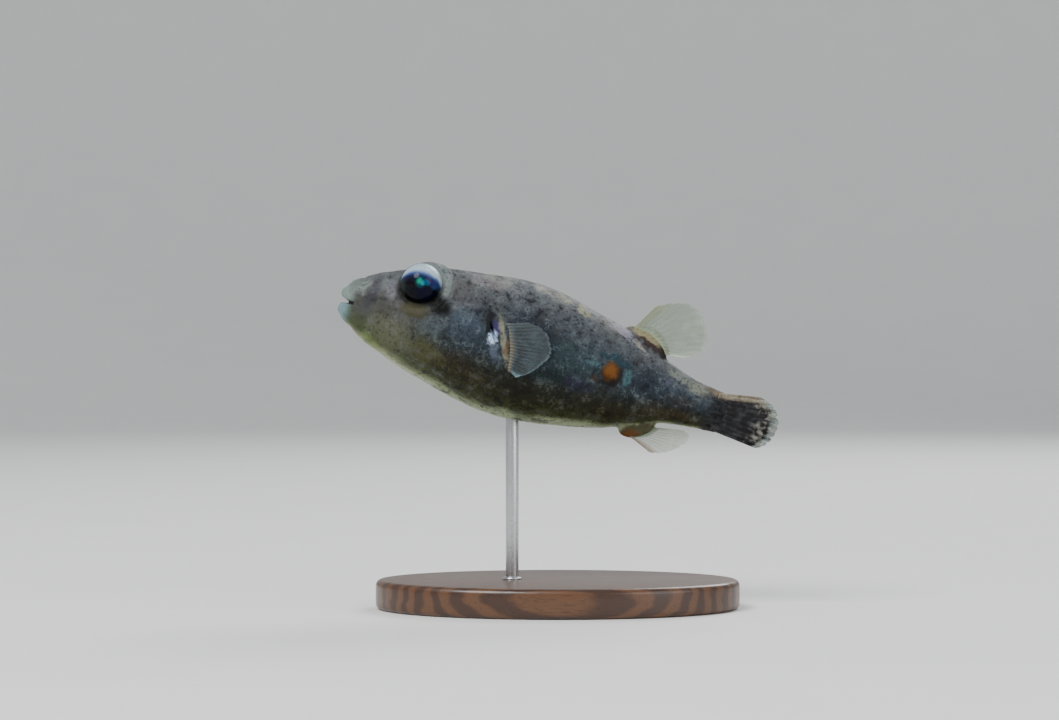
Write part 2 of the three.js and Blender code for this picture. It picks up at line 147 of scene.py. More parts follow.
# Markings on each flank: place, height, half length, half height, turn in degrees, colour, strength.
PATCHES = (
    (3.1, 3.5, 1.3, 1.2, 0, "9aa29c", 0.55),
    (4.6, 3.0, 0.9, 2.7, 10, "4d4b55", 0.75),
    (4.0, 0.2, 1.4, 2.4, 10, "5c5d60", 0.5),
    (7.4, 4.3, 0.9, 1.5, 0, "9a99a2", 0.5),
    (9.4, 8.2, 5.0, 1.0, -16, "5b5e60", 0.5),
    # Dark under the eye: pigment, with painted shade
    (13.6, 2.3, 1.3, 0.8, 10, "191510", 0.7),
    (8.9, -2.4, 3.6, 2.0, 24, "807f6e", 0.4),
    (3.6, -2.2, 1.1, 1.4, 20, "5a6748", 0.6),
    (6.4, -4.3, 1.9, 0.8, 32, "8b9a64", 0.55),
    (14.3, 0.6, 2.3, 1.4, 0, "6a767f", 0.38),
    (19.4, 2.0, 2.2, 2.6, 0, "58626f", 0.48),
    (18.2, 6.6, 3.0, 2.0, 8, "6d6a69", 0.5),
    (21.4, 9.2, 2.6, 0.9, 5, "9b9596", 0.55),
    (25.2, 9.2, 1.6, 0.9, 20, "919191", 0.5),
    (29.6, 10.5, 1.6, 0.5, 10, "a5a398", 0.6),
    (33.0, 10.1, 1.4, 0.4, 16, "a5a28c", 0.6),
    (36.3, 9.1, 1.2, 0.6, 30, "b0ad90", 0.8),
    (42.9, 7.8, 2.3, 0.65, 22, "9d99aa", 0.85),
    (46.1, 6.3, 1.6, 0.35, 34, "aea79e", 0.8),
    (29.2, 4.4, 3.0, 1.9, 0, "2f3340", 0.7),
    (32.0, 2.4, 2.2, 2.2, 0, "333844", 0.65),
    (36.4, 1.4, 4.2, 2.4, 0, "44585a", 0.6),
    (40.4, 1.7, 1.7, 0.5, 0, "6d8a90", 0.6),
    (45.4, 1.0, 0.75, 1.4, 0, "64878b", 0.65),
    (43.2, 3.2, 2.4, 0.7, 8, "2c4f5a", 0.85),
    (33.6, -1.8, 3.0, 1.2, 0, "2e4442", 0.5),
    (38.2, -2.2, 2.4, 1.0, 0, "45415c", 0.6),
    (28.6, -5.0, 4.2, 1.8, 4, "2a2518", 0.6),
    (20.6, -4.6, 3.6, 1.6, 14, "4b4429", 0.5),
    (15.0, -3.6, 2.6, 1.6, 14, "6a6744", 0.5),
    (43.5, -4.4, 4.4, 1.4, -4, "3b3622", 0.6),
    (49.0, 1.6, 2.6, 2.0, 0, "333843", 0.6),
    (51.4, 2.2, 0.9, 0.7, 30, "6d6f7c", 0.7),
    (53.4, 3.4, 1.9, 0.6, 16, "8f938b", 0.9),
    (56.5, 2.6, 1.9, 0.85, 12, "909389", 0.95),
    (54.6, -0.2, 2.4, 0.9, 0, "4a4540", 0.5),
    (53.4, -2.4, 3.0, 0.8, -8, "4a3e27", 0.55),
)
# Marks on the feet of the fins: the same, with the edge's softness before the colour, and last how much
# strength the grain adds.
FOOT_MARKS = (
    (26.7, 0.3, 0.45, 1.2, -20, 0.6, "7c6248", 0.5, 0.0),
    (46.9, 8.35, 3.2, 1.0, 20, 0.35, "a39d80", 0.4, 0.5),
    (47.7, 6.9, 2.6, 0.55, 22, 0.4, "4a3937", 0.85, 0.0),
    (50.6, 6.7, 1.5, 1.1, 26, 0.4, "2a1d1e", 0.85, 0.0),
    (49.4, -6.4, 3.2, 1.2, -26, 0.3, "55503a", 0.85, 0.0),
    (48.3, -7.2, 1.5, 0.8, -24, 0.4, "7d5c38", 0.85, 0.0),
)
# The colours from the belly (0) to the back (1), behind the head and on the head.
FLANK = (
    (0.035, "a1aa8d"),
    (0.07, "5a5d44"),
    (0.15, "464733"),
    (0.28, "3e423a"),
    (0.42, "434c52"),
    (0.62, "515b63"),
    (0.8, "61656a"),
    (0.92, "74777a"),
)
FACE = (
    (0.03, "a3a888"),
    (0.1, "6a7157"),
    (0.3, "686b5d"),
    (0.5, "686965"),
    (0.7, "66696a"),
    (0.92, "7c8081"),
)
# Painted reflections of light in the eye (green, cyan, blue, violet) and its dark blotches, in quarter
# turns from its axis: forward, upward, their two reaches, colour, strength.
EYE_REFLECTIONS_AND_BLOTCHES = (
    (0.26, -0.17, 0.24, 0.16, "150c14", 0.7),
    (0.62, -0.46, 0.2, 0.3, "27332e", 0.8),
    (-0.32, -0.38, 0.3, 0.24, "070821", 0.9),
    (-0.59, 0.02, 0.15, 0.2, "1a2f5c", 0.75),
    (-0.42, 0.04, 0.12, 0.07, "2c1c4c", 0.75),
    (-0.28, -0.06, 0.13, 0.09, "135078", 0.8),
    (-0.13, -0.11, 0.16, 0.14, "0a4248", 0.85),
    (-0.07, -0.08, 0.07, 0.09, "1c8a6c", 0.85),
    (-0.18, -0.12, 0.06, 0.07, "2587a0", 0.7),
)

BASE = {"long": 56.0, "wide": 36.0, "thick": 4.5}
ROD = {"radius": 1.0, "at": -7.0, "top": 31.4, "foot": 2.2}


# ---- Curves and sections -------------------------------------------------------------------------
def smooth_curve(x, knots, values):
    """A cubic through the knots, level at both ends; a knot's slope is the mean of its spans' slopes."""
    knots, values = np.asarray(knots, float), np.asarray(values, float)
    spans = np.diff(knots)
    steps = np.diff(values) / spans
    slopes = np.concatenate(([0], (steps[1:] + steps[:-1]) / 2, [0]))
    i = np.clip(np.searchsorted(knots, x) - 1, 0, len(spans) - 1)
    p = (x - knots[i]) / spans[i]
    start = (1 + 2 * p) * (1 - p) ** 2 * values[i] + p * (1 - p) ** 2 * spans[i] * slopes[i]
    end = p**2 * (3 - 2 * p) * values[i + 1] + p**2 * (p - 1) * spans[i] * slopes[i + 1]
    return start + end


def spline(points, share):
    """The points of a smooth curve through a few points, at shares of its way."""
    points = np.asarray(points, float)
    knots = np.arange(len(points)) / (len(points) - 1)
    slopes = np.gradient(points, knots, axis=0)
    i = np.clip(np.searchsorted(knots, share) - 1, 0, len(knots) - 2)
    span = 1 / (len(points) - 1)
    p = ((share - knots[i]) / span)[:, None]
    start = (1 + 2 * p) * (1 - p) ** 2 * points[i] + p * (1 - p) ** 2 * span * slopes[i]
    end = p**2 * (3 - 2 * p) * points[i + 1] + p**2 * (p - 1) * span * slopes[i + 1]
    return start + end


def section_at(x):
    """The body's back, belly, half width, widest height and squareness above and below, along the axis."""
    table = np.array(STATIONS).T
    return [smooth_curve(x, table[0], row) for row in table[1:]]


def flank_at(x, height):
    """The body's half width at a place along the axis and a height."""
    back, belly, half, wide, upper, lower = section_at(np.asarray(x, float))
    above = height > wide
    reach = np.where(above, back - wide, wide - belly)
    power = np.where(above, upper, lower)
    share = np.clip(np.abs(height - wide) / reach, 0, 1)
    return half * (1 - share**power) ** (1 / power)


def body_surface(direction):
    """The body's surface, for each direction on a ball whose pole points to the snout."""
    share = np.arccos(np.clip(direction[:, 2], -1, 1)) / np.pi
    start, end = STATIONS[0][0], STATIONS[-1][0]
    x = start + (end - start) * share**1.15
    back, belly, half, wide, upper, lower = section_at(x)
    angle = np.arctan2(direction[:, 1], direction[:, 0])
    cosine, sine = np.cos(angle), np.sin(angle)
    power = 2 / np.where(sine > 0, upper, lower)
    reach = np.where(sine > 0, back - wide, wide - belly)
    front = np.clip((x - start) / SNOUT_ROUNDING, 0, 1)
    rear = np.clip((end - x) / STALK_ROUNDING, 0, 1)
    opening = np.sqrt(1 - (1 - front) ** 2) * np.sqrt(1 - (1 - rear) ** 2)
    y = np.sign(cosine) * np.abs(cosine) ** power * half * opening
    z = wide + np.sign(sine) * np.abs(sine) ** power * reach * opening
    return np.column_stack((x, y, z))


# ---- Modelling -----------------------------------------------------------------------------------
def only(*pieces):
    """Selects these objects alone and makes the first one active."""
    bpy.ops.object.select_all(action="DESELECT")
    for piece in pieces:
        piece.select_set(True)
    bpy.context.view_layer.objects.active = pieces[0]


def added(name, primitive, **settings):
    """A new mesh primitive, alone and active."""
    bpy.ops.object.select_all(action="DESELECT")
    getattr(bpy.ops.mesh, f"primitive_{primitive}_add")(**settings)
    piece = bpy.context.active_object
    piece.name = piece.data.name = name
    return piece


def points_of(piece):
    flat = np.empty(len(piece.data.vertices) * 3, np.float32)
    piece.data.vertices.foreach_get("co", flat)
    return flat.reshape(-1, 3).astype(float)


def normals_of(piece):
    flat = np.empty(len(piece.data.vertices) * 3, np.float32)
    piece.data.vertex_normals.foreach_get("vector", flat)
    return flat.reshape(-1, 3).astype(float)


def move_points(piece, points):
    piece.data.vertices.foreach_set("co", np.asarray(points, np.float32).ravel())
    piece.data.update()


def face_outwards(piece):
    only(piece)
    bpy.ops.object.mode_set(mode="EDIT")
    bpy.ops.mesh.select_all(action="SELECT")
    bpy.ops.mesh.normals_make_consistent(inside=False)
    bpy.ops.object.mode_set(mode="OBJECT")


def ball(name, segments, rings, surface):
    """A UV sphere whose points are moved from their directions onto a surface."""
    piece = added(name, "uv_sphere", segments=segments, ring_count=rings, radius=1)
    move_points(piece, surface(points_of(piece)))
    face_outwards(piece)
    return piece


def ellipsoid(name, centre, radii, lean=0):
    """An ellipsoid, leaned about the axis across the body by degrees."""
    turn = np.array(Matrix.Rotation(math.radians(lean), 3, "Y"))
    return ball(name, 48, 32, lambda way: (way * radii) @ turn.T + centre)


def modified(piece, kind, **settings):
    """Adds a modifier and applies it."""
    only(piece)
    modifier = piece.modifiers.new(kind, kind)
    for name, value in settings.items():
        setattr(modifier, name, value)
    bpy.ops.object.modifier_apply(modifier=modifier.name)


def joined(name, pieces):
    only(*pieces)
    bpy.ops.object.join()
    piece = bpy.context.active_object
    piece.name = piece.data.name = name
    return piece


def store(piece, name, values):
    """Keeps a number for each point of a piece, as an attribute its material reads."""
    layer = piece.data.attributes.new(name, "FLOAT", "POINT")
    layer.data.foreach_set("value", np.asarray(values, np.float32))


def weigh(piece, name, weights):
    """A vertex group with a weight for each point, rounded so that few calls set it."""
    group = piece.vertex_groups.new(name=name)
    steps = np.round(np.clip(weights, 0, 1) * 200).astype(int)
    for step in np.unique(steps):
        if step > 0:
            group.add(np.flatnonzero(steps == step).tolist(), step / 200, "REPLACE")


def placed(piece, material, nodes, into=FISH_TO_ROW):
    """Puts a finished piece where it belongs, in its finish, riding on the one body."""
    piece.data.transform(into @ piece.matrix_world)
    piece.matrix_world = Matrix.Identity(4)
    piece.data.materials.clear()
    piece.data.materials.append(material)
    only(piece)
    bpy.ops.object.shade_smooth()
    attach(piece, "root")
    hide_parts(*nodes)


# ---- Shader maths --------------------------------------------------------------------------------
def colour(code):
    """A colour code such as 8fb0b8 as linear red, green, blue and alpha."""
    parts = [int(code[i : i + 2], 16) / 255 for i in (0, 2, 4)]
    return tuple(p / 12.92 if p <= 0.04045 else ((p + 0.055) / 1.055) ** 2.4 for p in parts) + (1.0,)


class Signal:
    """A shader socket; arithmetic on it adds Math nodes."""

    def __init__(self, look, socket):
        self.look = look
        self.socket = socket

    def math(self, operation, *values):
        return self.look.node("ShaderNodeMath", {"operation": operation}, dict(enumerate(values)))

    def __add__(self, other):
        return self.math("ADD", self, other)

    def __sub__(self, other):
        return self.math("SUBTRACT", self, other)

    def __mul__(self, other):
        return self.math("MULTIPLY", self, other)

    def __truediv__(self, other):
        return self.math("DIVIDE", self, other)

    def __rsub__(self, other):
        return self.math("SUBTRACT", other, self)

    def __abs__(self):
        return self.math("ABSOLUTE", self)

    def root(self):
        return self.math("SQRT", self)

    __radd__ = __add__
    __rmul__ = __mul__


class Look:
    """A material, built node by node round one Principled shader."""

    def __init__(self, name, **constants):
        self.material = bpy.data.materials.new(name)
        self.material.use_nodes = True
        self.tree = self.material.node_tree
        self.shader = self.tree.nodes["Principled BSDF"]
        for socket, value in constants.items():
            self.shader.inputs[socket.replace("_", " ")].default_value = value

    def node(self, kind, settings=None, inputs=None, out=0):
        """Adds a node, with its settings first and then its sockets' values or links."""
        made = self.tree.nodes.new(kind)
        for name, value in (settings or {}).items():
            if name == "stops":
                self.set_stops(made.color_ramp, value)
            else:
                setattr(made, name, value)
        for key, value in (inputs or {}).items():
            if isinstance(value, Signal):
                self.tree.links.new(value.socket, made.inputs[key])
            else:
                made.inputs[key].default_value = value
        return Signal(self, made.outputs[out])

    @staticmethod
    def set_stops(ramp, stops):
        while len(ramp.elements) < len(stops):
            ramp.elements.new(1)
        for element, (place, shade) in zip(ramp.elements, stops):
            element.position = place
            element.color = colour(shade) if isinstance(shade, str) else shade

    def feed(self, socket, signal):
        self.tree.links.new(signal.socket, self.shader.inputs[socket])

    def attribute(self, name):
        return self.node("ShaderNodeAttribute", {"attribute_name": name}, out="Fac")

    def object_place(self):
        return self.node("ShaderNodeTexCoord", out="Object")

    def fish_place(self):
        """The place in the fish's own frame, in millimetres."""
        back = FISH_TO_ROW.inverted()
        settings = {"Vector": self.object_place(), "Location": back.translation}
        settings |= {"Rotation": (0, -NOSE_UP, 0), "Scale": (1 / MM,) * 3}
        return self.node("ShaderNodeMapping", inputs=settings)

    def split(self, vector):
        first = self.node("ShaderNodeSeparateXYZ", inputs={0: vector})
        made = first.socket.node
        return [Signal(self, output) for output in made.outputs]

    def vector(self, operation, *values):
        return self.node("ShaderNodeVectorMath", {"operation": operation}, dict(enumerate(values)))

    def length(self, vector):
        return self.node("ShaderNodeVectorMath", {"operation": "LENGTH"}, {0: vector}, out="Value")

    def noise(self, place, scale, detail=2.0, roughness=0.5, out="Fac"):
        settings = {"Vector": place, "Scale": scale, "Detail": detail, "Roughness": roughness}
        return self.node("ShaderNodeTexNoise", inputs=settings, out=out)

    def cells(self, place, scale):
        """The distance to the nearest of many scattered points."""
        settings = {"Vector": place, "Scale": scale}
        return self.node("ShaderNodeTexVoronoi", inputs=settings, out="Distance")

    def warped(self, place, scale, amount):
        """The place pushed about by noise."""
        push = self.vector("SUBTRACT", self.noise(place, scale, out="Color"), (0.5, 0.5, 0.5))
        scaled = self.vector("MULTIPLY", push, (amount, amount, amount))
        return self.vector("ADD", place, scaled)

    def smooth(self, value, low, high):
        """0 at low, rising smoothly to 1 at high; low may be above high."""
        settings = {"Value": value, "From Min": low, "From Max": high}
        return self.node("ShaderNodeMapRange", {"interpolation_type": "SMOOTHSTEP"}, settings)

    def ramp(self, value, stops):
        return self.node("ShaderNodeValToRGB", {"stops": stops}, {0: value})

    def mix(self, mask, under, over):
        return self.node("ShaderNodeMix", {"data_type": "RGBA"}, {0: mask, 6: under, 7: over}, out=2)

    def patch(self, place, at, up, long, tall, turn=0.0, soft=0.4):
        """1 inside an ellipse on the fish's side, falling softly to 0 round its edge."""
        far = 1000
        settings = {"Vector": place, "Location": (at, 0, up), "Rotation": (0, math.radians(turn), 0)}
        settings["Scale"] = (long, far, tall)
        local = self.node("ShaderNodeMapping", {"vector_type": "TEXTURE"}, settings)
        return self.smooth(self.length(local), 1 + soft, 1 - soft)

    def bump(self, height, distance, strength=1.0):
        settings = {"Height": height, "Distance": distance, "Strength": strength}
        self.feed("Normal", self.node("ShaderNodeBump", inputs=settings))


# ---- Finishes ------------------------------------------------------------------------------------
class SkinLook(Look):
    """The skin's finish; each method paints one thing over the colours so far."""

    def __init__(self, settings):
        super().__init__("puffer_skin", Specular_IOR_Level=0.1, Coat_Weight=0.04, Coat_Roughness=0.25)
        self.settings = settings
        self.place = self.fish_place()
        self.along, self.across, self.up = self.split(self.place)
        self.rise = self.attribute("rise")
        self.broad = self.noise(self.place, 0.2, 2)
        self.middling = self.noise(self.place, 0.62, 3, 0.6)
        self.fine = self.noise(self.place, 2.1, 3, 0.65)
        self.grain = self.smooth(self.fine, 0.25, 0.6)
        self.wandering = self.warped(self.place, 0.9, 1.7)
        self.head = self.smooth(self.along, 20, 10)
        self.skin = None

    def paint(self, mask, shade):
        """Lays a colour over the skin, as far as the mask lets it."""
        over = colour(shade) if isinstance(shade, str) else shade
        self.skin = self.mix(mask, self.skin, over)

    def paint_ground(self):
        """The flank's and the head's colours, from the belly up to the back."""
        level = self.rise + (self.broad - 0.5) * 0.1 + (self.middling - 0.5) * 0.06
        belly = (0.0, self.settings.belly)
        self.skin = self.mix(self.head, self.ramp(level, (belly, *FLANK)), self.ramp(level, (belly, *FACE)))

    def paint_clouds(self):
        """Rusty, pale grey and slate clouds, and a fine grain of light and dark."""
        broad, middling, fine, head = self.broad, self.middling, self.fine, self.head
        self.paint(self.smooth(broad, 0.5, 0.68) * self.smooth(fine, 0.3, 0.6) * 0.4, "575044")
        self.paint(self.smooth(middling, 0.52, 0.7) * 0.45, "7c8385")
        self.paint(self.smooth(middling, 0.47, 0.32) * (0.65 - head * 0.2), "252830")
        self.paint(self.smooth(fine, 0.55, 0.72) * 0.35, "8b9190")
        self.paint(self.smooth(fine, 0.46, 0.32) * (0.6 - head * 0.25), "1d1e22")

    def paint_patches(self):
        """Larger markings, broken up by the grain."""
        for at, high, long, tall, turn, code, strength in PATCHES:
            mask = self.patch(self.wandering, at, high, long, tall, turn)
            self.paint(mask * self.grain * strength, code)

    def paint_worm_lines(self):
        """Broken worm lines, brown low on the flank and grey above."""
        worms = self.noise(self.warped(self.place, 1.3, 0.9), 1.15, 1.0, 0.5)
        line = self.smooth(abs(worms - 0.5) + abs(self.fine - 0.5) * 0.25, 0.06, 0.01)
        broken = self.smooth(self.middling, 0.45, 0.6)
        ends = self.smooth(self.along, 11, 21) * self.smooth(self.along, 61, 55)
        body = ends * self.smooth(self.rise, 0.05, 0.16)
        shade = self.mix(self.smooth(self.rise, 0.22, 0.4), colour("7a7358"), colour("828d94"))
        self.paint(line * broken * body * 0.55, shade)

    def paint_saddles(self):
        """Broken pale saddles along the back."""
        ends = self.smooth(self.along, 14, 18) * self.smooth(self.along, 46, 42)
        ridge = self.smooth(self.rise, 0.86, 0.97) * ends
        flecks = self.smooth(self.middling + (self.broad - 0.5) * 0.8, 0.5, 0.62)
        self.paint(ridge * flecks * 0.38, "a6a69e")

    def paint_spot(self):
        """The orange spot, dark below and behind, and a speck in front of it."""
        place = self.warped(self.place, 1.2, 1.1)
        self.paint(self.patch(place, 43.05, 0.9, 1.7, 1.75, 0, 0.3) * 0.75, "1f1a18")
        spot = self.patch(place, 42.75, 1.3, 1.15, 1.4, 0, 0.5) * self.smooth(self.fine, 0.15, 0.45)
        low = self.smooth(self.up + (self.fine - 0.5) * 1.5, 1.2, 0.1)
        self.paint(spot, self.mix(low * 0.6, self.settings.spot, colour("4a2f12")))
        self.paint(self.patch(place, 40.5, -0.35, 0.5, 0.5, 0, 0.6) * 0.5, "5f3d20")

    def paint_gill(self):
        """The gill opening: dark in front, partly painted shade in the opening, a painted violet sheen
        above, and a painted pearly highlight low behind.
        """
        # Dark in and in front of the gill opening, partly painted shade
        self.paint(self.patch(self.wandering, 23.3, 3.3, 0.9, 2.3, -25, 0.4) * 0.7, "17151a")
        # Painted violet sheen above the gill opening
        self.paint(self.patch(self.place, 24.3, 2.9, 0.55, 1.1, -30, 0.4) * 0.7, "5d5480")
        # Painted pearly highlight low behind the gill opening
        pearl_highlight = self.patch(self.warped(self.place, 1.8, 0.9), 24.2, 1.3, 0.75, 1.05, -10, 0.4)
        self.paint(pearl_highlight * self.smooth(self.fine, 0.3, 0.5), "cddaec")
        self.paint(self.patch(self.wandering, 25.1, -0.8, 0.6, 1.2, -15, 0.5) * 0.55, "7d8594")

    def paint_fin_feet(self):
        """A pale broken root to the pectoral fin, and the marks on the feet of the fins."""
        root = self.patch(self.warped(self.place, 1.5, 0.7), 26.1, 0.9, 0.5, 3.8, -24, 0.5)
        self.paint(root * (self.grain * 0.4 + self.smooth(self.middling, 0.4, 0.6) * 0.45), "9c9a88")
        for at, high, long, tall, turn, soft, code, strength, grained in FOOT_MARKS:
            mask = self.patch(self.wandering, at, high, long, tall, turn, soft)
            self.paint(mask * (strength + self.grain * grained), code)

    def paint_stalk_end(self):
        """The end of the stalk takes the tail fin's colours, in streaks."""
        streaks = self.noise(self.vector("MULTIPLY", self.place, (0.22, 1.0, 1.0)), 2.2, 2)
        tail = self.mix(self.smooth(streaks, 0.42, 0.6), colour("1f1e22"), colour("46464b"))
        top = self.smooth(self.rise + (self.middling - 0.5) * 0.12, 0.78, 0.88)
        tail = self.mix(top, tail, colour("8f8575"))
        self.paint(self.smooth(self.along + (streaks - 0.5) * 5.0, 57.4, 60.0) * 0.92, tail)

    def paint_round_eye(self):
        """Folds behind the eye, its lid, painted shadow in its socket and painted shade under it; returns
        where the shade is painted, where the skin is also made duller.
        """
        along, up, grain = self.along, self.up, self.grain
        one_side = self.node("ShaderNodeCombineXYZ", inputs={0: along, 1: abs(self.across), 2: up})
        from_eye = self.length(self.vector("SUBTRACT", one_side, EYE["at"]))
        ring = self.smooth(from_eye, 5.2, 4.3) * self.smooth(along, 11.8, 14.2) * self.smooth(up, 4.4, 5.7)
        self.paint(ring * (0.2 + grain * 0.45), "98a29e")
        lid = self.mix(self.smooth(up, 5.0, 8.6), colour("3a3d3e"), colour("8b9393"))
        self.paint(self.smooth(from_eye, 3.9, 3.55) * (0.35 + grain * 0.45), lid)
        # Painted shadow in the lower half of the eye's socket
        socket = self.smooth(from_eye, 4.3, 3.6) * self.smooth(up, 6.2, 4.0)
        self.paint(socket * (0.5 + grain * 0.35), "1f1d19")
        # Painted shade under the back of the eye
        shade = self.patch(self.warped(self.place, 1.5, 0.8), 14.9, 3.8, 2.0, 1.25, 24, 0.5)
        self.paint(shade * (0.7 + grain * 0.25), "0a0907")
        ochre = self.patch(self.wandering, 11.5, 2.0, 2.1, 1.1, 0, 0.45)
        self.paint(ochre * (0.55 + grain * 0.35), "57543a")
        return socket + shade

    def paint_mouth(self):
        """The lips, the dark inside of the mouth and painted shade in the slit between the lips; returns
        where the lips are.
        """
        along, up = self.along, self.up
        lips = self.smooth(along + (self.middling - 0.5) * 1.4, 2.7, 1.4)
        front = self.smooth(along + abs(up - 1.5) * 0.5, 2.2, 0.9)
        upper = self.mix(front, colour("848d88"), self.settings.lips)
        lower = self.mix(self.smooth(along, 2.0, 0.8), colour("75827b"), colour("8da5a8"))
        lip = self.mix(self.smooth(up, 0.75, 0.35), upper, lower)
        self.paint(lips * (0.7 + self.smooth(self.fine, 0.3, 0.5) * 0.25), lip)
        inside = self.vector("SUBTRACT", self.place, (HOLLOW["at"] + 0.15, 0.0, MOUTH["height"]))
        depth = self.length(self.vector("DIVIDE", inside, tuple(r * 1.12 for r in HOLLOW["radii"])))
        self.paint(self.smooth(depth, 1.05, 0.92), "3a1f1d")
        # The slit between the lips: its dark inner colour, with painted shade
        slit = self.smooth(abs(up - MOUTH["height"] + 0.04), 0.42, 0.12) * self.smooth(along, 0.2, 0.9)
        self.paint(slit * self.smooth(along, 2.5, 2.0) * 0.9, "1c1614")
        return lips

    def finished(self):
        """Paints everything in turn, adds the prickles and gives the material."""
        self.paint_ground()
        self.paint_clouds()
        self.paint_patches()
        self.paint_worm_lines()
        self.paint_saddles()
        self.paint_spot()
        self.paint_gill()
        self.paint_fin_feet()
        self.paint_stalk_end()
        painted_shade = self.paint_round_eye()
        lips = self.paint_mouth()
        deepened = {"Color": self.skin, "Gamma": self.settings.depth}
        self.feed("Base Color", self.node("ShaderNodeGamma", inputs=deepened))
        prickles = self.smooth(self.cells(self.place, 2.3), 0.5, 0.0)
        height = prickles * 0.6 * (1 - lips * 0.9) + self.fine * 0.9
        self.bump(height, self.settings.prickle_height, 0.8)
        self.feed("Roughness", 0.46 + self.fine * 0.2 - lips * 0.1 + painted_shade * 0.2)
        return self.material


def eye_look(settings):
    look = Look("puffer_eye", Coat_Weight=0.05, Coat_Roughness=0.07, Specular_IOR_Level=0.06)
    polar = look.attribute("polar")
    lift = look.attribute("lift")
    fore = look.attribute("fore")
    place = look.fish_place()
    grain = look.noise(place, 2.4, 4, 0.65)
    fine = look.noise(place, 7.0, 2)
    ripple = look.noise(look.vector("MULTIPLY", place, (1.0, 1.0, 1.8)), 1.1, 3)
    # The pupil and the dark iris fill the eye up to an arch; over it shows the silvery upper iris,
    # brightened as a painted highlight from above
    aside = fore + 0.22
    under = 0.23 - aside * aside * 0.3 - lift + (grain - 0.5) * 0.05
    eye = look.ramp(
        under + 0.5,
        (
            (0.0, "a3b6c0"),
            (0.38, "b1c3cc"),
            (0.44, "98adc2"),
            (0.5, "677a9f"),
            (0.56, "37466f"),
            (0.64, "192140"),
            (0.75, settings.iris),
            (0.88, "04060c"),
        ),
    )
    # Painted reflections of light in the eye, and its dark blotches
    for at, high, long, tall, code, strength in EYE_REFLECTIONS_AND_BLOTCHES:
        across = (fore - at) / long
        upwards = (lift - high) / tall
        distance = across * across + upwards * upwards + (ripple - 0.5) * 2.4
        eye = look.mix(look.smooth(distance, 2.2, -0.3) * strength, eye, colour(code))
    # The silvery upper iris, partly a painted highlight from above
    silver_and_highlight = look.smooth(under, 0.04, -0.06)
    eye = look.mix(silver_and_highlight * look.smooth(fine, 0.45, 0.7) * 0.5, eye, colour("7f93a4"))
    eye = look.mix(silver_and_highlight * look.smooth(fore, 0.2, 0.7) * 0.5, eye, colour("93b2d6"))
    # The skin closes over the eye's border
    eye = look.mix(look.smooth(polar, 0.94, 1.0) * (1.0 - silver_and_highlight * 0.6), eye, colour("3b4043"))
    look.feed("Base Color", eye)
    look.feed("Metallic", silver_and_highlight * 0.3)
    look.feed("Roughness", 0.1 + silver_and_highlight * 0.3)
    return look.material


def fin_look(name, web, shades, clear, streak):
    """A fin's finish: a clear web, with rays, a rim, a root and a front edge of their own colours."""
    look = Look(name, Coat_Weight=0.15, Coat_Roughness=0.2, Specular_IOR_Level=0.35)
    ray, edge, root, lead = (colour(code) for code in shades)
    rays = look.attribute("ray")
    reach = look.attribute("reach")
    station = look.attribute("station")
    place = look.fish_place()
    cloud = look.noise(place, 0.7, 3)
    fine = look.noise(place, 3.0, 3)
    front = look.smooth(station + (cloud - 0.5) * 0.1, 0.2, 0.04)
    behind = look.smooth(station + (cloud - 0.5) * 0.06, 0.9, 0.985) * look.smooth(reach, 0.1, 0.4)
    skin = look.mix(look.smooth(cloud, 0.35, 0.7) * streak, web, edge)
    skin = look.mix(rays * 0.5, skin, ray)
    rim = look.smooth(reach + (fine - 0.5) * 0.05, 0.93, 1.0) * look.smooth(station, 0.1, 0.8)
    skin = look.mix(rim * 0.5 + behind * 0.5, skin, edge)
    skin = look.mix(look.smooth(reach + (cloud - 0.5) * 0.12, 0.2, 0.06), skin, root)
    skin = look.mix(front * 0.75, skin, lead)
    look.feed("Base Color", skin)
    faded = rays * look.smooth(reach, 1.0, 0.4) * 0.15
    alpha = clear + faded + behind * 0.4 + look.smooth(reach, 0.3, 0.04) + front * 0.2
    look.feed("Alpha", look.smooth(alpha + (cloud - 0.5) * 0.25, 0.0, 1.0))
    look.feed("Roughness", 0.45 + fine * 0.2)
    look.bump(fine * 0.3 + rays * 0.15, 0.000015)
    return look.material


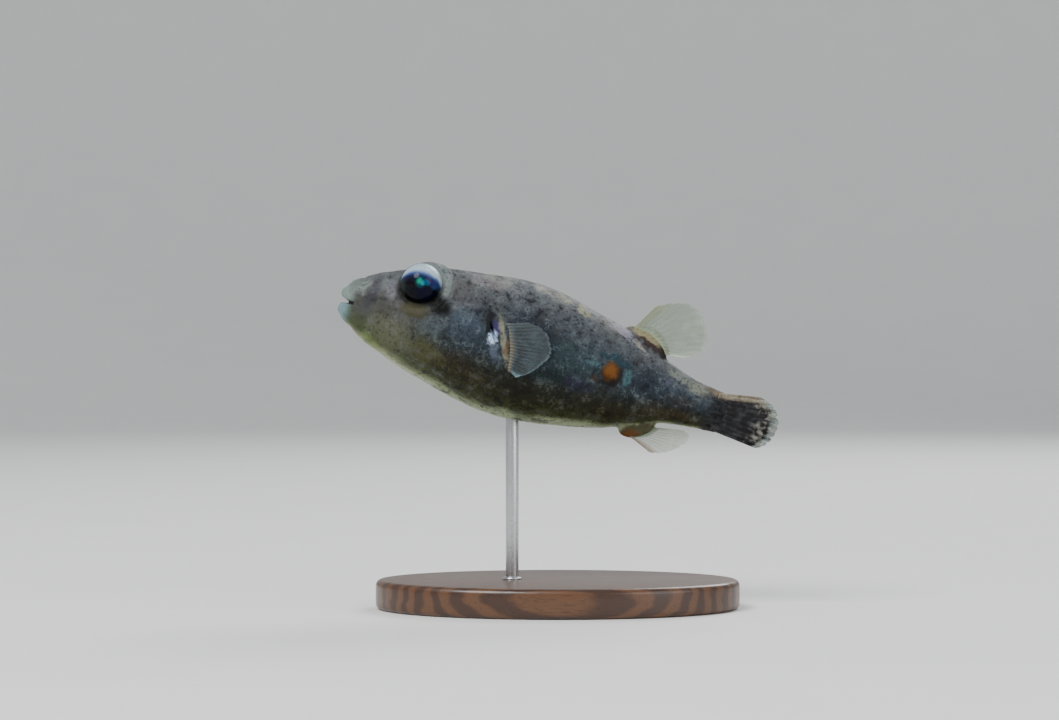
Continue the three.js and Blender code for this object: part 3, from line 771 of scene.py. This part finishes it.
def tail_look():
    """The folded tail fin: dark rays, a cream upper edge, a mottled grey end and a clear pale rim."""
    look = Look("puffer_tail_fin", Coat_Weight=0.05, Coat_Roughness=0.22, Specular_IOR_Level=0.2)
    rays = look.attribute("ray")
    reach = look.attribute("reach")
    station = look.attribute("station")
    place = look.fish_place()
    cloud = look.noise(place, 0.9, 3, 0.6)
    fine = look.noise(place, 3.0, 3)
    skin = look.mix(look.smooth(cloud, 0.42, 0.62), colour("0c0c0e"), colour("29292c"))
    skin = look.mix(look.smooth(rays, 0.2, 0.9) * 0.75, skin, colour("09090a"))
    blotches = look.smooth(look.noise(look.warped(place, 1.2, 0.9), 0.75, 2), 0.45, 0.57)
    distal = look.smooth(reach + (cloud - 0.5) * 0.35, 0.62, 0.78)
    skin = look.mix(distal * blotches * 0.85, skin, colour("77756c"))
    skin = look.mix(distal * look.smooth(fine, 0.52, 0.66) * 0.6, skin, colour("241310"))
    top = look.smooth(station + (cloud - 0.5) * 0.1, 0.19, 0.09)
    cream = look.mix(look.smooth(fine, 0.4, 0.6), colour("7d6d62"), colour("918d76"))
    skin = look.mix(top * (0.55 + look.smooth(cloud, 0.35, 0.6) * 0.35), skin, cream)
    rim = look.smooth(reach + (cloud - 0.5) * 0.12, 0.86, 0.96)
    skin = look.mix(rim * (0.35 + look.smooth(cloud, 0.35, 0.6) * 0.45), skin, colour("93a29b"))
    look.feed("Base Color", skin)
    look.feed("Alpha", look.smooth(1.0 - rim * (0.5 - rays * 0.3), 0.0, 1.0))
    look.feed("Roughness", 0.45 + fine * 0.2)
    look.bump(fine * 0.5 + rays * 0.3, 0.00004)
    return look.material


def beak_look():
    gloss = {"Coat_Weight": 0.5, "Coat_Roughness": 0.12}
    look = Look("beak_enamel", Subsurface_Weight=0.15, Subsurface_Scale=0.0004, **gloss)
    place = look.fish_place()
    bands = look.noise(look.vector("MULTIPLY", place, (1.0, 6.0, 1.0)), 1.4, 3)
    look.feed("Base Color", look.mix(look.smooth(bands, 0.35, 0.7), colour("e9dfc4"), colour("c9b38a")))
    look.feed("Roughness", 0.25 + bands * 0.2)
    look.bump(bands, 0.00003)
    return look.material


def wood_look(settings):
    look = Look("stained_walnut", Coat_Weight=0.35, Coat_Roughness=0.14, Specular_IOR_Level=0.4)
    place = look.vector("MULTIPLY", look.object_place(), (1000.0, 1000.0, 1000.0))
    stretched = look.vector("MULTIPLY", place, (0.1, 1.0, 1.0))
    bent = look.warped(look.warped(stretched, 0.12, 5.0), 0.5, 0.9)
    rings = look.node(
        "ShaderNodeTexWave",
        {"wave_type": "BANDS", "bands_direction": "Y"},
        {"Vector": bent, "Scale": 0.16, "Distortion": 2.0, "Detail": 3.0},
    )
    pores = look.noise(look.vector("MULTIPLY", place, (0.5, 9.0, 9.0)), 1.0, 3)
    wood = look.mix(look.smooth(rings, 0.2, 0.85), settings.wood, colour("5a3a22"))
    wood = look.mix(look.smooth(pores, 0.52, 0.68) * 0.6, wood, colour("1c0f08"))
    look.feed("Base Color", wood)
    look.feed("Roughness", 0.3 + pores * 0.2)
    look.bump(pores * 0.5 + rings * 0.2, 0.00005, 0.6)
    return look.material


def steel_look():
    look = Look("brushed_steel", Metallic=1.0)
    place = look.vector("MULTIPLY", look.object_place(), (1000.0, 1000.0, 1000.0))
    brushed = look.noise(look.vector("MULTIPLY", place, (1.2, 1.2, 24.0)), 1.0, 3)
    look.feed("Base Color", look.mix(brushed, colour("a9abad"), colour("cfd1d3")))
    look.feed("Roughness", 0.2 + brushed * 0.2)
    look.bump(brushed, 0.000015)
    return look.material


def floor_look(settings):
    look = Look("studio_floor")
    speck = look.noise(look.object_place(), 40, 3)
    look.feed("Base Color", look.mix(speck * 0.3, settings.floor, colour("d2d3d2")))
    look.feed("Roughness", 0.75 + speck * 0.1)
    return look.material


# ---- Skin ----------------------------------------------------------------------------------------
def eye_turn(side):
    """Turns +Z to an eye's axis."""
    lean = Matrix.Rotation(math.radians(side * (EYE["up"] - 90)), 3, "X")
    return Matrix.Rotation(math.radians(side * EYE["forward"]), 3, "Z") @ lean


def eye_centre(side):
    at, apart, height = EYE["at"]
    return np.array((at, side * apart, height))


def head_and_trunk(direction):
    """The body's surface with a shallow socket round each eye."""
    points = body_surface(direction)
    beside = np.column_stack((points[:, 0], np.abs(points[:, 1]), points[:, 2]))
    from_eye = np.linalg.norm(beside - EYE["at"], axis=1)
    dent = SOCKET["depth"] * np.exp(-(((from_eye - SOCKET["reach"]) / SOCKET["width"]) ** 2))
    points[:, 1] -= np.sign(points[:, 1]) * np.minimum(dent, beside[:, 1])
    return points


def lip_mass(name):
    """A lip: a sausage across the mouth that bows back towards the corners."""
    lip = LIPS[name]

    def surface(way):
        points = way * lip["radii"] + (lip["at"], 0, lip["height"])
        points[:, 0] += lip["bow"] * way[:, 1] ** 2
        return points

    return ball(f"lip_{name}", 40, 28, surface)


def mound_mass(side):
    """The mound of skin that an eye sits in."""
    axis = np.array(eye_turn(side) @ Vector((0, 0, 1)))
    centre = eye_centre(side) - axis * MOUND["sunk"]
    return ellipsoid("mound", centre, (MOUND["radius"],) * 3)


def brow_centre(side):
    at, apart, height = BROW["at"]
    return np.array((at, side * apart, height))


def brow_mass(side):
    """The hump of skin over the back of an eye."""
    return ellipsoid("brow", brow_centre(side), BROW["radii"])


def foot_mass(fin, side=0):
    """The fleshy foot of a fin, in the middle plane or on a flank."""
    foot = fin["foot"]
    sideways = side * (float(flank_at(foot["at"], foot["height"])) - fin["sunk"]) if side else 0
    return ellipsoid("foot", (foot["at"], sideways, foot["height"]), foot["radii"], foot["lean"])


def gape_cutter():
    """The wedge between the parted lips, which reaches well in front of them and arches in the middle."""
    corner, height, gape, half = (MOUTH[key] for key in ("corner", "height", "gape", "half"))
    piece = added("gape", "cube", size=2)
    bpy.ops.object.mode_set(mode="EDIT")
    bpy.ops.mesh.subdivide(number_cuts=15)
    bpy.ops.object.mode_set(mode="OBJECT")
    points = points_of(piece)
    forward = (1 - points[:, 0]) / 2
    y = points[:, 1] * half
    upper = np.where(points[:, 2] > 0, gape, 1.5 * gape)
    z = height + points[:, 2] * (0.02 + upper * forward) + MOUTH["arch"] * np.cos(y * 0.75)
    move_points(piece, np.column_stack((corner * (1 - 3 * forward), y, z)))
    return piece


def skin_blank(settings):
    """The flesh as one closed mesh: its masses grown together, with the mouth and the gills cut."""
    masses = [ball("skin", 144, 240, head_and_trunk), lip_mass("upper"), lip_mass("lower")]
    masses += [mound_mass(side) for side in SIDES.values()]
    masses += [brow_mass(side) for side in SIDES.values()]
    masses += [foot_mass(PECTORAL, side) for side in SIDES.values()]
    masses += [foot_mass(DORSAL), foot_mass(ANAL)]
    skin = joined("skin", masses)
    modified(skin, "REMESH", mode="VOXEL", voxel_size=0.2)
    hollow = ellipsoid("hollow", (HOLLOW["at"], 0, MOUTH["height"]), HOLLOW["radii"])
    cutter = joined("cutter", [gape_cutter(), hollow])
    modified(cutter, "REMESH", mode="VOXEL", voxel_size=0.12)
    gills = []
    for side in SIDES.values():
        centre = (GILL["at"], side * float(flank_at(GILL["at"], GILL["height"])), GILL["height"])
        gills.append(ellipsoid("gill", centre, GILL["radii"], GILL["lean"]))
    cutter = joined("cutter", [cutter, *gills])
    modified(skin, "BOOLEAN", operation="DIFFERENCE", solver="EXACT", object=cutter)
    bpy.data.objects.remove(cutter)
    trim = [eye_ring(side) for side in SIDES.values()] + [nostril(side) for side in SIDES.values()]
    skin = joined("skin", [skin, *trim])
    modified(skin, "REMESH", mode="VOXEL", voxel_size=settings.voxel / MM)
    return skin


def soften(skin):
    """Smooths the skin all over, and more where its masses meet."""
    modified(skin, "SMOOTH", factor=0.5, iterations=5)
    points = points_of(skin)
    fillet = np.zeros(len(points))
    for side in SIDES.values():
        centre = eye_centre(side)
        axis = np.array(eye_turn(side) @ Vector((0, 0, 1)))
        offset = points - centre
        outside = np.linalg.norm(offset + axis * MOUND["sunk"], axis=1) - MOUND["radius"]
        mound_foot = np.exp(-(((outside - 0.5) / 0.7) ** 2)) * (outside > 0.15)
        from_brow = (points - brow_centre(side)) / BROW["radii"]
        brow_foot = np.exp(-(((np.linalg.norm(from_brow, axis=1) - 1.25) / 0.3) ** 2))
        brow_foot *= np.linalg.norm(offset, axis=1) > EYE["radius"]
        fillet = np.maximum.reduce((fillet, mound_foot, 0.8 * brow_foot))
    from_mouth = abs(points[:, 2] - MOUTH["height"])
    lips = np.clip((2.2 - points[:, 0]) / 0.6, 0, 1) * np.clip(2.2 - from_mouth, 0, 1)
    fillet = np.maximum(fillet, 0.45 * lips)
    for fin in (DORSAL, ANAL):
        foot = fin["foot"]
        reach = (foot["radii"][0] + 0.8, 2.6, foot["radii"][2] + 0.8)
        near = (points - (foot["at"], 0, foot["height"])) / reach
        fillet = np.maximum(fillet, np.clip(2 - 1.6 * np.linalg.norm(near, axis=1), 0, 1))
    weigh(skin, "fillet", fillet)
    modified(skin, "SMOOTH", factor=0.5, iterations=22, vertex_group="fillet")
    skin.vertex_groups.clear()


def sculpt(skin):
    """Pushes the soft forms, folds and lines into the skin."""
    points, normals = points_of(skin), normals_of(skin)
    x, y, z = points[:, 0], np.abs(points[:, 1]), points[:, 2]
    rise = np.zeros(len(points))
    for at, apart, height, long, deep, tall, amount in FORMS:
        distance = ((x - at) / long) ** 2 + ((y - apart) / deep) ** 2 + ((z - height) / tall) ** 2
        rise += amount * np.exp(-distance)
    # The groove behind the lips
    behind_lips = 2.55 + 0.12 * np.cos(np.arctan2(z, y) * 7)
    rise -= 0.11 * np.exp(-(((x - behind_lips) / 0.4) ** 2))
    # Creases at the corners of the mouth and folds behind the eyes
    corner = np.exp(-(((x - 2.5) / 0.7) ** 2) - (((z - MOUTH["height"]) / 1.5) ** 2)) * (y > 1.2)
    rise += 0.07 * corner * np.cos((z - MOUTH["height"]) * 5.2 + np.pi)
    from_eye = np.linalg.norm(np.column_stack((x, y, z)) - EYE["at"], axis=1)
    behind = np.clip((x - 11.5) / 2.5, 0, 1) * np.clip((z - 3.4) / 1.5, 0, 1)
    folds = np.cos((from_eye - 4.62) * 2 * np.pi / 0.95) * np.exp(-(((from_eye - 4.6) / 0.7) ** 2))
    rise += 0.1 * behind * folds
    # The lateral line
    line = np.array(LATERAL_LINE)
    middle = smooth_curve(np.clip(x, line[0, 0], line[-1, 0]), line[:, 0], line[:, 1])
    run = (x > line[0, 0]) & (x < line[-1, 0]) & (y > 0.6)
    rise -= 0.07 * np.exp(-(((z - middle) / 0.22) ** 2)) * run
    # Lengthwise folds of the loose belly
    back, belly = section_at(np.clip(x, STATIONS[0][0], STATIONS[-1][0]))[:2]
    height = np.clip((z - belly) / (back - belly), 0, 1)
    slack = np.clip(1 - height / 0.3, 0, 1) * np.clip((x - 9) / 6, 0, 1) * np.clip((46 - x) / 6, 0, 1)
    wander = 0.35 * np.sin(x * 0.33) + 0.2 * np.sin(x * 0.9)
    rise += 0.045 * slack * np.sin((points[:, 1] + wander) * 2 * np.pi / 1.15)
    # Small unevenness everywhere
    rough = np.array([noise.fractal(Vector(p) * 0.45, 0.8, 2.0, 4) for p in points])
    rise += 0.07 * np.clip(rough, -1, 1) * np.clip((x - 1.5) / 2, 0.15, 1)
    move_points(skin, points + normals * rise[:, None])


def eye_ring(side):
    """The lid: a thin fold of skin round the eye where it leaves the mound, thicker behind."""
    height = (MOUND["radius"] ** 2 - EYE["radius"] ** 2 - MOUND["sunk"] ** 2) / (2 * MOUND["sunk"])
    radius = math.sqrt(EYE["radius"] ** 2 - height**2) + 0.1
    settings = {"major_radius": radius, "minor_radius": 0.24, "major_segments": 120, "minor_segments": 16}
    piece = added("lid", "torus", **settings)
    points = points_of(piece)
    angle = np.arctan2(points[:, 1], points[:, 0])
    swell = 1 + 0.15 * np.cos(angle * 2 + 0.6) + 0.05 * np.sin(angle * 9)
    middle = np.column_stack((np.cos(angle), np.sin(angle), np.zeros(len(angle)))) * radius
    points = middle + (points - middle) * swell[:, None]
    points[:, 2] += height - 0.2
    turn = np.array(eye_turn(side))
    move_points(piece, points @ turn.T + eye_centre(side))
    return piece


def nostril(side):
    """A nostril: a short soft tube, notched into two flaps at its mouth."""
    at, apart, height = NOSTRIL["at"]
    length, radius = NOSTRIL["length"], NOSTRIL["radius"]
    piece = added("nostril", "cylinder", vertices=32, radius=radius, depth=length, end_fill_type="NGON")
    bpy.ops.object.mode_set(mode="EDIT")
    bpy.ops.mesh.select_mode(type="FACE")
    bpy.ops.mesh.select_all(action="DESELECT")
    bpy.ops.object.mode_set(mode="OBJECT")
    top = max(piece.data.polygons, key=lambda face: face.center.z)
    top.select = True
    bpy.ops.object.mode_set(mode="EDIT")
    bpy.ops.mesh.inset(thickness=radius * 0.5)
    bpy.ops.mesh.extrude_region_move(TRANSFORM_OT_translate={"value": (0, 0, -length * 0.5)})
    bpy.ops.object.mode_set(mode="OBJECT")
    modified(piece, "SUBSURF", levels=2, render_levels=2)
    points = points_of(piece)
    tall = np.clip(points[:, 2] / length + 0.5, 0, 1)
    notch = 0.13 * tall**2 * np.cos(np.arctan2(points[:, 1], points[:, 0]) * 2)
    points[:, 2] += notch
    lean = Matrix.Rotation(math.radians(-side * NOSTRIL["lean"]), 3, "X")
    move_points(piece, points @ np.array(lean).T + (at, side * apart, height))
    return piece


class PUFFER_OT_skin(bpy.types.Operator):
    """Model the skin over head, trunk, tail stalk and lips"""

    bl_idname = "puffer.skin"
    bl_label = "Skin"

    def execute(self, context):
        settings = context.scene.puffer_skin
        skin = skin_blank(settings)
        soften(skin)
        sculpt(skin)
        face_outwards(skin)
        points = points_of(skin)
        back, belly = section_at(np.clip(points[:, 0], STATIONS[0][0], STATIONS[-1][0]))[:2]
        store(skin, "rise", np.clip((points[:, 2] - belly) / (back - belly), 0, 1))
        nodes = ("head", "trunk", "tail_stalk", "lip_upper", "lip_lower")
        placed(skin, SkinLook(settings).finished(), nodes)
        return {"FINISHED"}


# ---- Eyes and beak -------------------------------------------------------------------------------
class PUFFER_OT_eyes(bpy.types.Operator):
    """Model the two eyeballs with their domed lenses and sunken irises"""

    bl_idname = "puffer.eyes"
    bl_label = "Eyes"

    def execute(self, context):
        settings = context.scene.puffer_eye
        material = eye_look(settings)
        for name, side in SIDES.items():
            eye = added(f"eyeball_{name}", "uv_sphere", segments=96, ring_count=72, radius=1)
            way = points_of(eye)
            polar = np.arccos(np.clip(way[:, 2], -1, 1)) / (np.pi / 2)
            lens = 0.05 * np.clip(1 - (polar / 0.36) ** 2, 0, 1)
            sunken = -0.06 * np.exp(-(((polar - 0.5) / 0.1) ** 2))
            radius = settings.radius / MM - 0.05 + lens + sunken
            turned = way @ np.array(eye_turn(side)).T
            axis = np.array(eye_turn(side) @ Vector((0, 0, 1)))
            upward = np.array((0, 0, 1)) - axis * axis[2]
            upward /= np.linalg.norm(upward)
            forward = np.cross(upward, axis) * side
            forward *= -1 if forward[0] > 0 else 1
            # Angles from the axis, upwards and forwards, in quarter turns
            spread = polar / np.maximum(np.sin(polar * np.pi / 2), 0.001)
            store(eye, "polar", polar)
            store(eye, "lift", turned @ upward * spread)
            store(eye, "fore", turned @ forward * spread)
            move_points(eye, turned * radius[:, None] + eye_centre(side))
            placed(eye, material, (f"eye_{name}",))
        return {"FINISHED"}


class PUFFER_OT_beak(bpy.types.Operator):
    """Model the two plates of the beak inside the lips"""

    bl_idname = "puffer.beak"
    bl_label = "Beak"

    def execute(self, context):
        material = beak_look()
        for name, way_up in (("upper", 1), ("lower", -1)):

            def surface(way, way_up=way_up):
                long, wide, tall = (radius - 0.25 for radius in HOLLOW["radii"])
                level = np.where(way[:, 2] * way_up > 0, way[:, 2] * way_up, 0.0) * tall
                groove = 1 - 0.08 * np.exp(-((way[:, 1] / 0.06) ** 2))
                x = HOLLOW["at"] + way[:, 0] * long * groove
                y = way[:, 1] * wide
                bite = 0.14 + 0.08 * np.clip(way[:, 1] ** 2, 0, 1)
                return np.column_stack((x, y, MOUTH["height"] + way_up * (level + bite)))

            plate = ball(f"beak_plate_{name}", 48, 32, surface)
            placed(plate, material, (f"beak_{name}",))
        return {"FINISHED"}


# ---- Fins ----------------------------------------------------------------------------------------
def fin_piece(name, fin, facing, place, settings, cup, pleat, root_thick=1.0, root_reach=0.09):
    """A fin: a sheet from its root line to its rim, thickened along branching, jointed rays.

    place turns [along, height] points, and their share of the way to the rim, into the fish's frame.
    """
    rays = fin["rays"]
    columns, rows = rays * 12, 56
    piece = added(name, "grid", x_subdivisions=columns, y_subdivisions=rows, size=2)
    grid = points_of(piece)
    station = (grid[:, 0] + 1) / 2
    reach = (grid[:, 1] + 1) / 2
    from_ray = station * rays - 0.5 - np.round(station * rays - 0.5)
    web = 1 - SCALLOP * (2 * from_ray) ** 2 * (1 + 0.7 * np.sin(station * 41))
    root = place(spline(fin["root"], station), np.zeros(len(station)))
    rim = place(spline(fin["rim"], station), np.ones(len(station)))
    share = (reach * web)[:, None]
    middle = root * (1 - share) + rim * share
    wave = cup * np.sin(np.pi * station) * reach**1.4 + 0.12 * np.sin(station * 19 + 1) * reach**2
    folds = pleat * np.cos(2 * np.pi * from_ray) * reach * (1.15 - reach * 0.5)
    points = middle + np.asarray(facing) * (wave + folds)[:, None]
    split = 0.2 * np.clip((reach - 0.38) / 0.62, 0, 1)
    from_branch = np.minimum(np.abs(from_ray - split), np.abs(from_ray + split))
    ray = np.exp(-((from_branch / 0.13) ** 2))
    joints = 1 - 0.15 * np.clip(np.cos(reach * 2 * np.pi * 17), 0, 1) ** 4 * (reach > 0.3)
    thin, thick = settings.web / MM, settings.ray / MM
    thickness = thin + (thick - thin) * ray * joints * (1 - 0.55 * reach)
    thickness += (root_thick - thin) * np.exp(-reach / root_reach)
    move_points(piece, points)
    store(piece, "ray", ray)
    store(piece, "reach", reach)
    store(piece, "station", station)
    full = thickness.max()
    weigh(piece, "thickness", thickness / full)
    modified(piece, "SOLIDIFY", thickness=full, offset=0, vertex_group="thickness", use_rim=True)
    face_outwards(piece)
    return piece


def in_middle(bend):
    """Places points of a fin in the body's middle plane, its rim swung to one side."""

    def place(points, share):
        return np.column_stack((points[:, 0], share * bend, points[:, 1]))

    return place


def on_flank(side):
    """Places points of a pectoral fin: its root on the flank, its rim spread away from it."""
    hinge, height = PECTORAL["root"][1]
    spread = math.tan(math.radians(PECTORAL["spread"]))

    def place(points, share):
        rooted = flank_at(points[:, 0], points[:, 1])
        spread_out = float(flank_at(hinge, height)) + (points[:, 0] - hinge) * spread
        out = np.where(share > 0, spread_out, rooted)
        return np.column_stack((points[:, 0], side * out, points[:, 1]))

    return place


class PUFFER_OT_median_fins(bpy.types.Operator):
    """Model the dorsal and the anal fin"""

    bl_idname = "puffer.median_fins"
    bl_label = "Dorsal and anal fin"

    def execute(self, context):
        settings = context.scene.puffer_fin
        dorsal = fin_piece("dorsal_fin", DORSAL, (0, 1, 0), in_middle(DORSAL["bend"]), settings, -0.5, 0.06)
        shades = ("8f9a80", "b9c6b6", "8f8560", "8b9272")
        look = fin_look("dorsal_web", settings.web_colour, shades, 0.4, 0.3)
        placed(dorsal, look, ("fin_dorsal",))
        anal = fin_piece("anal_fin", ANAL, (0, 1, 0), in_middle(ANAL["bend"]), settings, -0.3, 0.05)
        shades = ("8c8462", "a9b5a2", "5f5034", "70533a")
        look = fin_look("anal_web", settings.web_colour, shades, 0.34, 0.3)
        placed(anal, look, ("fin_anal",))
        return {"FINISHED"}


class PUFFER_OT_tail_fin(bpy.types.Operator):
    """Model the half folded tail fin"""

    bl_idname = "puffer.tail_fin"
    bl_label = "Tail fin"

    def execute(self, context):
        settings = context.scene.puffer_fin
        tail = fin_piece("tail_fin", CAUDAL, (0, 1, 0), in_middle(0), settings, 0.25, 0.24, 2.2, 0.2)
        placed(tail, tail_look(), ("fin_tail",))
        return {"FINISHED"}


class PUFFER_OT_pectoral_fins(bpy.types.Operator):
    """Model the two pectoral fins"""

    bl_idname = "puffer.pectoral_fins"
    bl_label = "Pectoral fins"

    def execute(self, context):
        settings = context.scene.puffer_fin
        shades = ("384246", "6f8c93", "5c5646", "333d3f")
        look = fin_look("pectoral_web", settings.flank_web_colour, shades, 0.62, 0.12)
        spread = math.radians(PECTORAL["spread"])
        for name, side in SIDES.items():
            facing = (-math.sin(spread), side * math.cos(spread), 0)
            place = on_flank(side)
            fin = fin_piece(f"pectoral_fin_{name}", PECTORAL, facing, place, settings, 0.5, 0.02, 0.7)
            placed(fin, look, (f"fin_pectoral_{name}",))
        return {"FINISHED"}


# ---- Stand ---------------------------------------------------------------------------------------
class PUFFER_OT_stand(bpy.types.Operator):
    """Model the oval wooden base and the steel rod"""

    bl_idname = "puffer.stand"
    bl_label = "Display stand"

    def execute(self, context):
        settings = context.scene.puffer_stand
        thick = BASE["thick"]
        middle = (0, 0, thick / 2)
        base = added("oval_base", "cylinder", vertices=160, radius=1, depth=thick, location=middle)
        bpy.ops.transform.resize(value=(BASE["long"] / 2, BASE["wide"] / 2, 1))
        bpy.ops.object.transform_apply(location=True, rotation=True, scale=True)
        edges = {"limit_method": "ANGLE", "angle_limit": math.radians(50)}
        modified(base, "BEVEL", width=settings.edge / MM, segments=6, **edges)
        placed(base, wood_look(settings), ("stand_base",), STAND_TO_ROW)
        bpy.ops.object.shade_smooth_by_angle(angle=math.radians(35))

        length = ROD["top"] - ROD["foot"]
        middle = (ROD["at"], 0, (ROD["top"] + ROD["foot"]) / 2)
        size = {"radius": ROD["radius"], "depth": length}
        rod = added("steel_rod", "cylinder", vertices=64, location=middle, **size)
        bpy.ops.object.transform_apply(location=True, rotation=True, scale=True)
        modified(rod, "BEVEL", width=0.15, segments=3, **edges)
        size = {"major_radius": 1.15, "minor_radius": 0.32}
        collar = added("collar", "torus", major_segments=72, minor_segments=18, **size)
        points = points_of(collar)
        move_points(collar, points * (1, 1, 0.8) + (ROD["at"], 0, thick + 0.12))
        stand = joined("steel_rod", [rod, collar])
        placed(stand, steel_look(), ("stand_rod",), STAND_TO_ROW)
        bpy.ops.object.shade_smooth_by_angle(angle=math.radians(40))
        return {"FINISHED"}


# ---- Stage ---------------------------------------------------------------------------------------
def soft_light(name, place, target, size, power):
    bpy.ops.object.light_add(type="AREA", location=place)
    light = bpy.context.active_object
    light.name = name
    light.data.shape = "DISK"
    light.data.size = size
    light.data.energy = power
    light.rotation_euler = (Vector(target) - Vector(place)).to_track_quat("-Z", "Y").to_euler()


class PUFFER_OT_stage(bpy.types.Operator):
    """Set the pale floor, the soft light and the camera"""

    bl_idname = "puffer.stage"
    bl_label = "Stage"

    def execute(self, context):
        settings = context.scene.puffer_stage
        floor = added("floor", "circle", vertices=96, radius=1.0, fill_type="NGON")
        bpy.ops.object.mode_set(mode="EDIT")
        bpy.ops.mesh.select_all(action="SELECT")
        steps, sweep = 12, 0.5
        radius, height = 1.0, 0.0
        for step in range(1, steps + 1):
            angle = math.radians(90 * step / steps)
            wider = 1.0 + sweep * math.sin(angle)
            higher = sweep * (1 - math.cos(angle))
            bpy.ops.mesh.extrude_region_move(TRANSFORM_OT_translate={"value": (0, 0, higher - height)})
            bpy.ops.transform.resize(value=(wider / radius, wider / radius, 1))
            radius, height = wider, higher
        bpy.ops.mesh.extrude_region_move(TRANSFORM_OT_translate={"value": (0, 0, 0.6)})
        bpy.ops.mesh.delete(type="ONLY_FACE")
        bpy.ops.object.mode_set(mode="OBJECT")
        only(floor)
        bpy.ops.object.shade_smooth()
        floor.data.materials.append(floor_look(settings))

        fish = (0, 0, 0.038)
        soft_light("key", (-0.35, -0.42, 0.62), fish, 0.42, settings.light)
        soft_light("fill", (0.6, -0.5, 0.3), fish, 0.6, settings.light * 0.35)
        soft_light("back", (0.3, 0.55, 0.55), fish, 0.4, settings.light * 0.5)
        world = bpy.data.worlds.new("studio")
        world.use_nodes = True
        world.node_tree.nodes["Background"].inputs["Color"].default_value = (0.9, 0.93, 1.0, 1.0)
        world.node_tree.nodes["Background"].inputs["Strength"].default_value = settings.sky
        context.scene.world = world

        bpy.ops.object.camera_add(location=(settings.aim_x, -settings.distance, settings.aim_z))
        camera = context.active_object
        camera.rotation_euler = (math.radians(90), 0, 0)
        camera.data.lens = settings.lens
        camera.data.sensor_width = 36
        camera.data.clip_start = 0.01
        context.scene.camera = camera
        return {"FINISHED"}


# ---- Settings ------------------------------------------------------------------------------------
def shade_setting(name, description, code):
    return bpy.props.FloatVectorProperty(
        name=name, description=description, subtype="COLOR", size=4, min=0, max=1, default=colour(code)
    )


def size_setting(name, description, millimetres):
    return bpy.props.FloatProperty(
        name=name, description=description, unit="LENGTH", default=millimetres * MM, precision=6, min=0
    )


def number_setting(name, description, value, **settings):
    return bpy.props.FloatProperty(name=name, description=description, default=value, **settings)


class PufferSkinSettings(bpy.types.PropertyGroup):
    voxel: size_setting("Fineness", "Size of the skin's smallest faces", 0.17)
    prickle_height: size_setting("Prickle height", "How far the tiny prickles stand out", 0.05)
    belly: shade_setting("Belly", "Colour of the belly", "b9c0a6")
    lips: shade_setting("Lips", "Colour of the upper lip", "92a19c")
    spot: shade_setting("Spot", "Colour of the spot on the flank", "856030")
    depth: number_setting("Depth", "How deep the skin's colours are", 1.45, min=0.5)


class PufferEyeSettings(bpy.types.PropertyGroup):
    radius: size_setting("Radius", "Radius of an eyeball", EYE["radius"])
    iris: shade_setting("Iris", "Colour of the iris", "131c30")


class PufferFinSettings(bpy.types.PropertyGroup):
    web: size_setting("Web thickness", "Thickness of the web between two rays", 0.11)
    ray: size_setting("Ray thickness", "Thickness of a ray near its root", 0.27)
    web_colour: shade_setting("Web", "Colour of the web of the dorsal and anal fins", "6f8069")
    flank_web_colour: shade_setting("Flank web", "Colour of the web of the pectoral fins", "293135")


class PufferStandSettings(bpy.types.PropertyGroup):
    edge: size_setting("Edge rounding", "How far the base's edges are rounded", 0.9)
    wood: shade_setting("Wood", "Colour of the wood between its darker rings", "3b2416")


class PufferStageSettings(bpy.types.PropertyGroup):
    floor: shade_setting("Floor", "Colour of the floor", "e6e6e4")
    lens: number_setting("Lens", "Focal length", 85, unit="CAMERA")
    distance: size_setting("Distance", "From the camera to the fish's middle plane", 385)
    aim_x: number_setting("Aim along", "Camera's place along X", -0.00434, unit="LENGTH")
    aim_z: number_setting("Aim height", "Camera's height", 0.03823, unit="LENGTH")
    light: number_setting("Light", "Power of the key light", 7, unit="POWER")
    sky: number_setting("Sky", "Strength of the light all round", 0.5)


SETTINGS = {
    "puffer_skin": PufferSkinSettings,
    "puffer_eye": PufferEyeSettings,
    "puffer_fin": PufferFinSettings,
    "puffer_stand": PufferStandSettings,
    "puffer_stage": PufferStageSettings,
}
OPERATORS = (
    PUFFER_OT_skin,
    PUFFER_OT_eyes,
    PUFFER_OT_beak,
    PUFFER_OT_median_fins,
    PUFFER_OT_tail_fin,
    PUFFER_OT_pectoral_fins,
    PUFFER_OT_stand,
    PUFFER_OT_stage,
)


class PUFFER_PT_panel(bpy.types.Panel):
    """The pieces of the pufferfish, in the order they are made"""

    bl_idname = "PUFFER_PT_panel"
    bl_label = "Pufferfish"
    bl_space_type = "VIEW_3D"
    bl_region_type = "UI"
    bl_category = "Puffer"

    def draw(self, context):
        for operator in OPERATORS:
            self.layout.operator(operator.bl_idname)


def register():
    for group in SETTINGS.values():
        bpy.utils.register_class(group)
    for name, group in SETTINGS.items():
        setattr(bpy.types.Scene, name, bpy.props.PointerProperty(type=group))
    for made in (*OPERATORS, PUFFER_PT_panel):
        bpy.utils.register_class(made)


def unregister():
    for made in (PUFFER_PT_panel, *OPERATORS):
        bpy.utils.unregister_class(made)
    for name, group in SETTINGS.items():
        delattr(bpy.types.Scene, name)
        bpy.utils.unregister_class(group)


def main():
    register()
    bpy.ops.puffer.skin()
    bpy.ops.puffer.eyes()
    bpy.ops.puffer.beak()
    bpy.ops.puffer.median_fins()
    bpy.ops.puffer.tail_fin()
    bpy.ops.puffer.pectoral_fins()
    bpy.ops.puffer.stand()
    bpy.ops.puffer.stage()


if __name__ == "__main__":
    main()
